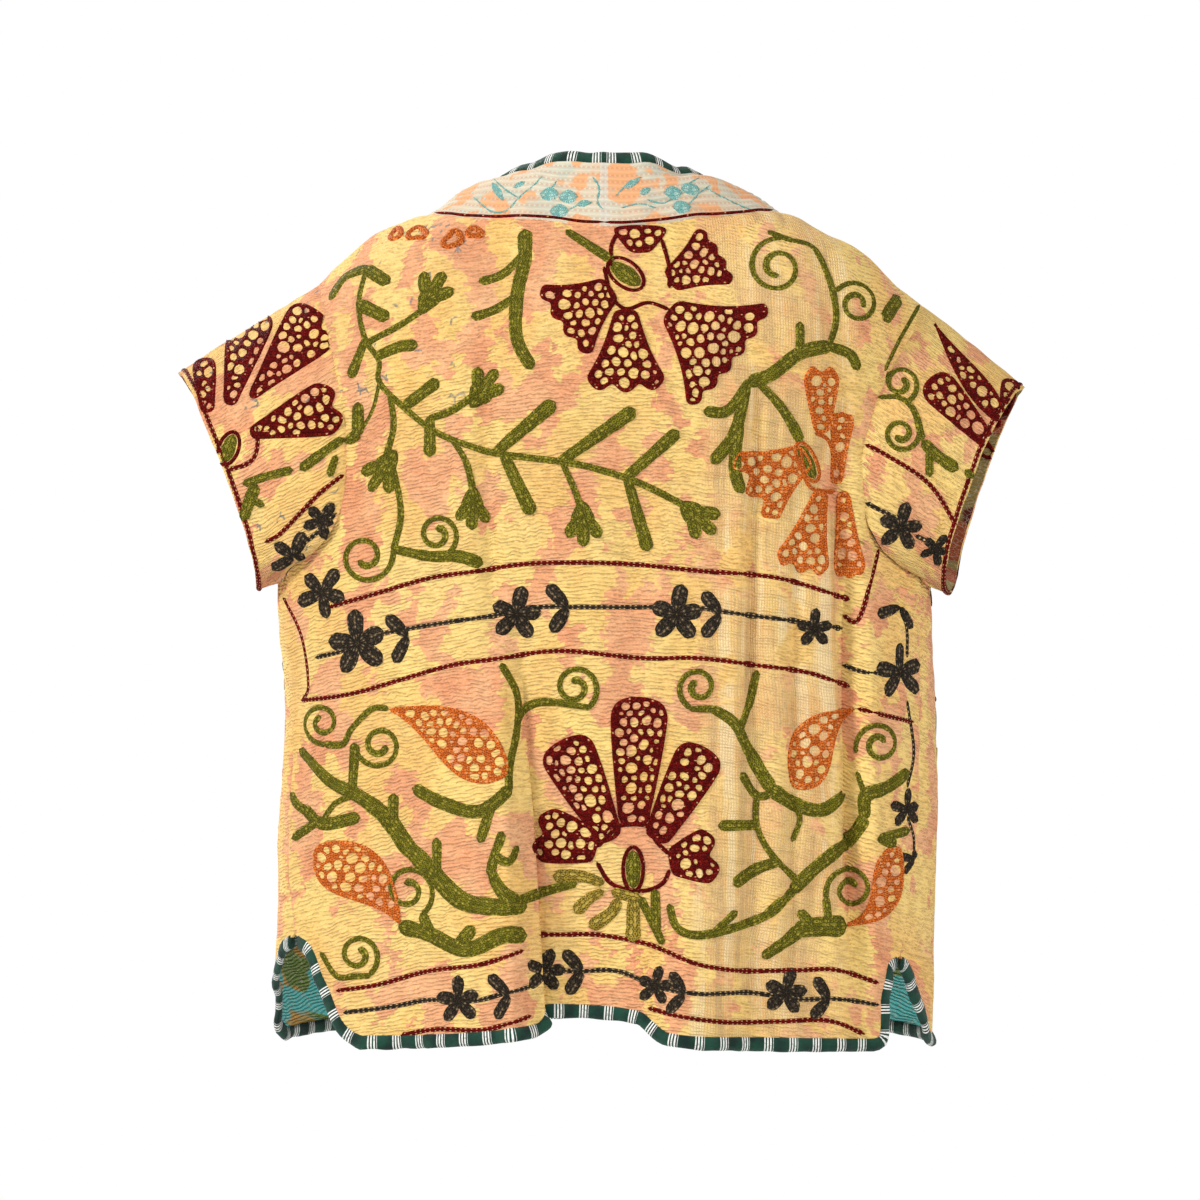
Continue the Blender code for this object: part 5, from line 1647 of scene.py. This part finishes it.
def work_tables(skeins, chance, tables, chart, on, move=0.0, window=(-40.0, 40.0)):
    """Works a set of tables on a piece, moved sideways by some centimetres, where the middles of
    their shapes fall inside the window, which is in centimetres too. What is worked from before
    turns the other way."""
    where = (chart, on)
    on_sleeve = tables is SLEEVE_TABLES
    top = 0.0 if move == 0.0 else FRONT_TOP

    def rows(kind):
        for row in tables.get(kind, ()):
            far, down = np.mean([value for value in row if isinstance(value, tuple)], axis=0)
            if window[0] <= far <= window[1] and top <= down <= 60.0:
                yield [(np.array(value) + (move, 0.0)) / 100 if isinstance(value, tuple) else value
                       for value in row]

    def mirrored(degrees):
        return 180 - degrees if chart is from_before else degrees

    for colour, base, tip, base_width, tip_width, lobes in rows("petals"):
        net(skeins[colour], petal(base, tip, base_width / 1000, tip_width / 1000, lobes,
                                  colour == "orange"), chance, where)
    for colour, point, end, width, bend in rows("drops"):
        net(skeins[colour], drop(point, end, width / 1000, bend / 1000), chance, where)
    for colour, centre, width in rows("rosettes"):
        bud_loop(skeins[colour], centre, width / 1000, where)
    for rim, centre, length, width, turn in rows("eyes"):
        eye(skeins[rim], skeins["green"], centre, length / 1000, width / 1000, mirrored(turn),
            where)
    for start, end, *points in rows("stems"):
        work(skeins["green"], soft_line(points if on_sleeve else overlapped(points)),
             np.array((start, end)) / 1000, where, STEM_RISE)
    for start, end, *points in rows("golden_leaves"):
        work(skeins["gold"], soft_line(points), np.array((start, end)) / 1000, where, CORD_RISE)
    for colour, *points in rows("cords"):
        work(skeins[colour], soft_line(points), CORD_WIDTH, where, CORD_RISE)
    for centre, radius, start, turns, hand in rows("spirals"):
        spiral(skeins["green"], centre, radius / 1000, mirrored(start), turns,
               -hand if chart is from_before else hand, SPIRAL_WIDTH[on_sleeve], where)
    for centre, size, way in rows("leaf_fans"):
        leaf_fan(skeins["green"], centre, size / 1000, way, where)
    for colour, kind in (("red", "red_lines"), ("dark_line", "dark_lines")):
        for points in rows(kind):
            work(skeins[colour], soft_line(points), CHAIN_WIDTH, where)
    for shape, kind in ((flower, "flowers"), (chevron, "chevrons")):
        for centre, size, way in rows(kind):
            shape(skeins["charcoal"], centre, size / 1000, mirrored(way), where)


def on_cloth(spots, outs, off, reach, near=math.inf, on=""):
    """The places of these spots on the cloth and the ways out, met from `off` outside them."""
    found = []
    for spot, out in zip(spots, outs):
        met = GROUND.meet(spot + out * off, -unit(out), reach)
        if met is not None and met[2].startswith(on) and np.linalg.norm(met[0] - spot) < near:
            found.append(met)
    return [np.array([met[key] for met in found]) for key in (0, 1)]


def edge_lines(skeins):
    """A dark red line along each cuff, just inside its edge."""
    for name in SIDES:
        ring = hang(sleeve_rings(name))[-2]
        ways = unit((ring - ring.mean(axis=0)) * (0.0, 1.0, 1.0))
        lay_band(skeins["red"], *on_cloth(ring, ways, 0.02, 0.04), CHAIN_WIDTH, 0.0010, closed=True)


def work_seam(skeins, bands):
    """A dark red line along the seam of the band."""
    for rows in bands.values():
        seam = rows[1]
        outs = np.where(seam[:, 1:2] > 0.0, unit(seam + (0.0, 0.0, 0.1)), (0.0, -1.0, 0.15))
        lay_band(skeins["maroon"], *on_cloth(seam, outs, 0.02, 0.05, 0.006), SEAM_LINE_WIDTH,
                 0.0011)


def work_nape(skeins):
    """The aqua tendrils, leaves and trefoils on the band behind the neck."""
    where = (from_behind, "band_cloth")
    for points in BAND_LINES:
        work(skeins["aqua"], soft_line(np.array(points) / 100), (0.0014, 0.0016, 0.0013), where,
             0.0006)
    for start, end in BAND_LEAVES:
        line = soft_line(np.array((start, np.mean((start, end), axis=0), end)) / 100, 0.0015)
        work(skeins["aqua"], line, (0.0015, 0.0052, 0.0058, 0.0042, 0.0012), where, 0.0006)
    for far, down in BAND_DISCS:
        line = soft_line(np.array(((far - 0.62, down), (far, down), (far + 0.62, down))) / 100,
                         0.0012)
        work(skeins["aqua"], line, 0.0122 * NAPE_DISC_SHAPE, where, 0.0008)


def work_band(skeins, bands):
    """Trefoils of discs and small leaves along the band before the shoulders."""
    for name, side in SIDES.items():
        rows = bands[name]
        far = lengths(rows[0])

        def place(along, across):
            row = rows[int(np.clip(across / BAND_WIDTH * (len(rows) - 1), 0, len(rows) - 1))]
            return np.array([np.interp(along, far, row[:, k]) for k in range(3)])

        for number, start in enumerate(np.arange(0.170, far[-1] - 0.05, 0.088)):
            for a, b, radius in BAND_MOTIF:
                along, across = start + a, BAND_WIDTH * 0.52 + (b if number % 2 == 0 else -b)
                middle = place(along, across)
                ahead = unit(place(along + 0.006, across) - middle)
                up = unit(place(along, min(across + 0.006, BAND_WIDTH))
                          - place(along, across - 0.006))
                out = unit(np.cross(ahead, up)) * -side
                line = middle + ahead * np.linspace(-radius, radius, 9)[:, None]
                points, ways = on_cloth(line, [out] * 9, 0.012, 0.024, on="band_cloth")
                if len(points) > 4:
                    lay_band(skeins["aqua"], points, ways,
                             2 * radius * DISC_SHAPE, 0.0008)


def main():
    global GROUND
    quilt, band, trim = quilted_look(), band_look(), trim_look()
    lining = inside_look("lining_patches", TURQUOISE, OCHRE, LEAF_CLOTH, BROWN)
    sleeve_lining = inside_look("sleeve_lining", KHAKI, RUST, DARK_RED)
    back = make_back(quilt, lining)
    fronts = {name: make_front(name, side, quilt, lining) for name, side in SIDES.items()}
    sleeves = {name: make_sleeve(name, side, quilt, sleeve_lining) for name, side in SIDES.items()}
    bands, strips, band_rows = {}, {}, {}
    for name, side in SIDES.items():
        bands[name], strips[name], band_rows[name] = make_band(name, side, band, trim)
    hem_back = back_hem_strip(trim)
    hems = {name: front_hem_strip(name, side, trim, band_rows[name])
            for name, side in SIDES.items()}

    GROUND = Ground([back, *fronts.values(), *sleeves.values(), *bands.values()])
    chance = np.random.default_rng(7)
    skeins = {name: Skein("stitches_" + name) for name in THREADS}
    work_tables(skeins, chance, BODY_TABLES, from_behind, "back_cloth")
    work_tables(skeins, chance, BODY_TABLES, from_around, "front_cloth", 50.0, (-20.5, 1.5))
    work_tables(skeins, chance, BODY_TABLES, from_around, "front_cloth", -49.0, (-1.5, 20.5))
    for chart in (from_behind, from_before):
        work_tables(skeins, chance, SLEEVE_TABLES, chart, "sleeve_cloth")
    edge_lines(skeins)
    work_nape(skeins)
    work_band(skeins, band_rows)
    work_seam(skeins, band_rows)
    stitches = [skein.finish(thread_look(*THREADS[name])) for name, skein in skeins.items()]


# ---------------------------------------------------------------- floor, light and camera

LAMPS = (
    # name, place, size, power
    ("key", (3.5, 2.2, 1.9), 0.9, 166.0),
    ("front", (2.2, -3.6, 2.2), 1.8, 150.0),
    ("fill", (-2.6, 3.3, 1.0), 2.0, 92.0),
)
LIT_POINT = (0.0, 0.0, -0.3)
CAMERA_PLACE = (0.0028, 6.0, -0.2751)
VIEW_WIDTH = 0.84        # what the camera takes in at the waistcoat's middle
SENSOR = 36.0
FLOOR_HEIGHT = -1.25


def studio():
    """A pale floor under a soft sky that the camera sees as white, three lamps and the camera."""
    scene = bpy.context.scene
    scene.view_settings.view_transform = "Standard"
    scene.world = bpy.data.worlds.new("studio")
    scene.world.use_nodes = True
    tree = scene.world.node_tree
    either = tree.nodes.new("ShaderNodeMixShader")
    path = tree.nodes.new("ShaderNodeLightPath")
    tree.links.new(path.outputs["Is Camera Ray"], either.inputs[0])
    sky, shown = tree.nodes["Background"], tree.nodes.new("ShaderNodeBackground")
    for number, light, colour, strength in ((1, sky, (1.0, 0.99, 0.97, 1.0), 0.50),
                                            (2, shown, (1.0, 1.0, 1.0, 1.0), 1.0)):
        light.inputs["Color"].default_value = colour
        light.inputs["Strength"].default_value = strength
        tree.links.new(light.outputs[0], either.inputs[number])
    tree.links.new(either.outputs[0], tree.nodes["World Output"].inputs["Surface"])

    bpy.ops.mesh.primitive_circle_add(vertices=64, radius=3.0, fill_type="NGON",
                                      location=(0.0, 0.0, FLOOR_HEIGHT))
    floor = bpy.context.object
    floor.name = "studio_floor"
    paper = bpy.data.materials.new("pale_floor")
    paper.use_nodes = True
    shader = paper.node_tree.nodes["Principled BSDF"]
    shader.inputs["Base Color"].default_value = (0.8, 0.8, 0.8, 1.0)
    shader.inputs["Roughness"].default_value = 0.9
    floor.data.materials.append(paper)

    for name, place, size, power in LAMPS:
        light = bpy.data.lights.new(name, "AREA")
        light.energy, light.size = power, size
        lamp = bpy.data.objects.new(name, light)
        lamp.location = place
        way = Vector(LIT_POINT) - Vector(place)
        lamp.rotation_euler = way.to_track_quat("-Z", "Y").to_euler()
        scene.collection.objects.link(lamp)

    lens = bpy.data.cameras.new("camera")
    lens.sensor_width = SENSOR
    lens.lens = SENSOR * CAMERA_PLACE[1] / VIEW_WIDTH
    scene.camera = bpy.data.objects.new("camera", lens)
    scene.camera.location = CAMERA_PLACE
    scene.camera.rotation_euler = (math.radians(90.0), 0.0, math.radians(180.0))
    scene.collection.objects.link(scene.camera)


main()
studio()
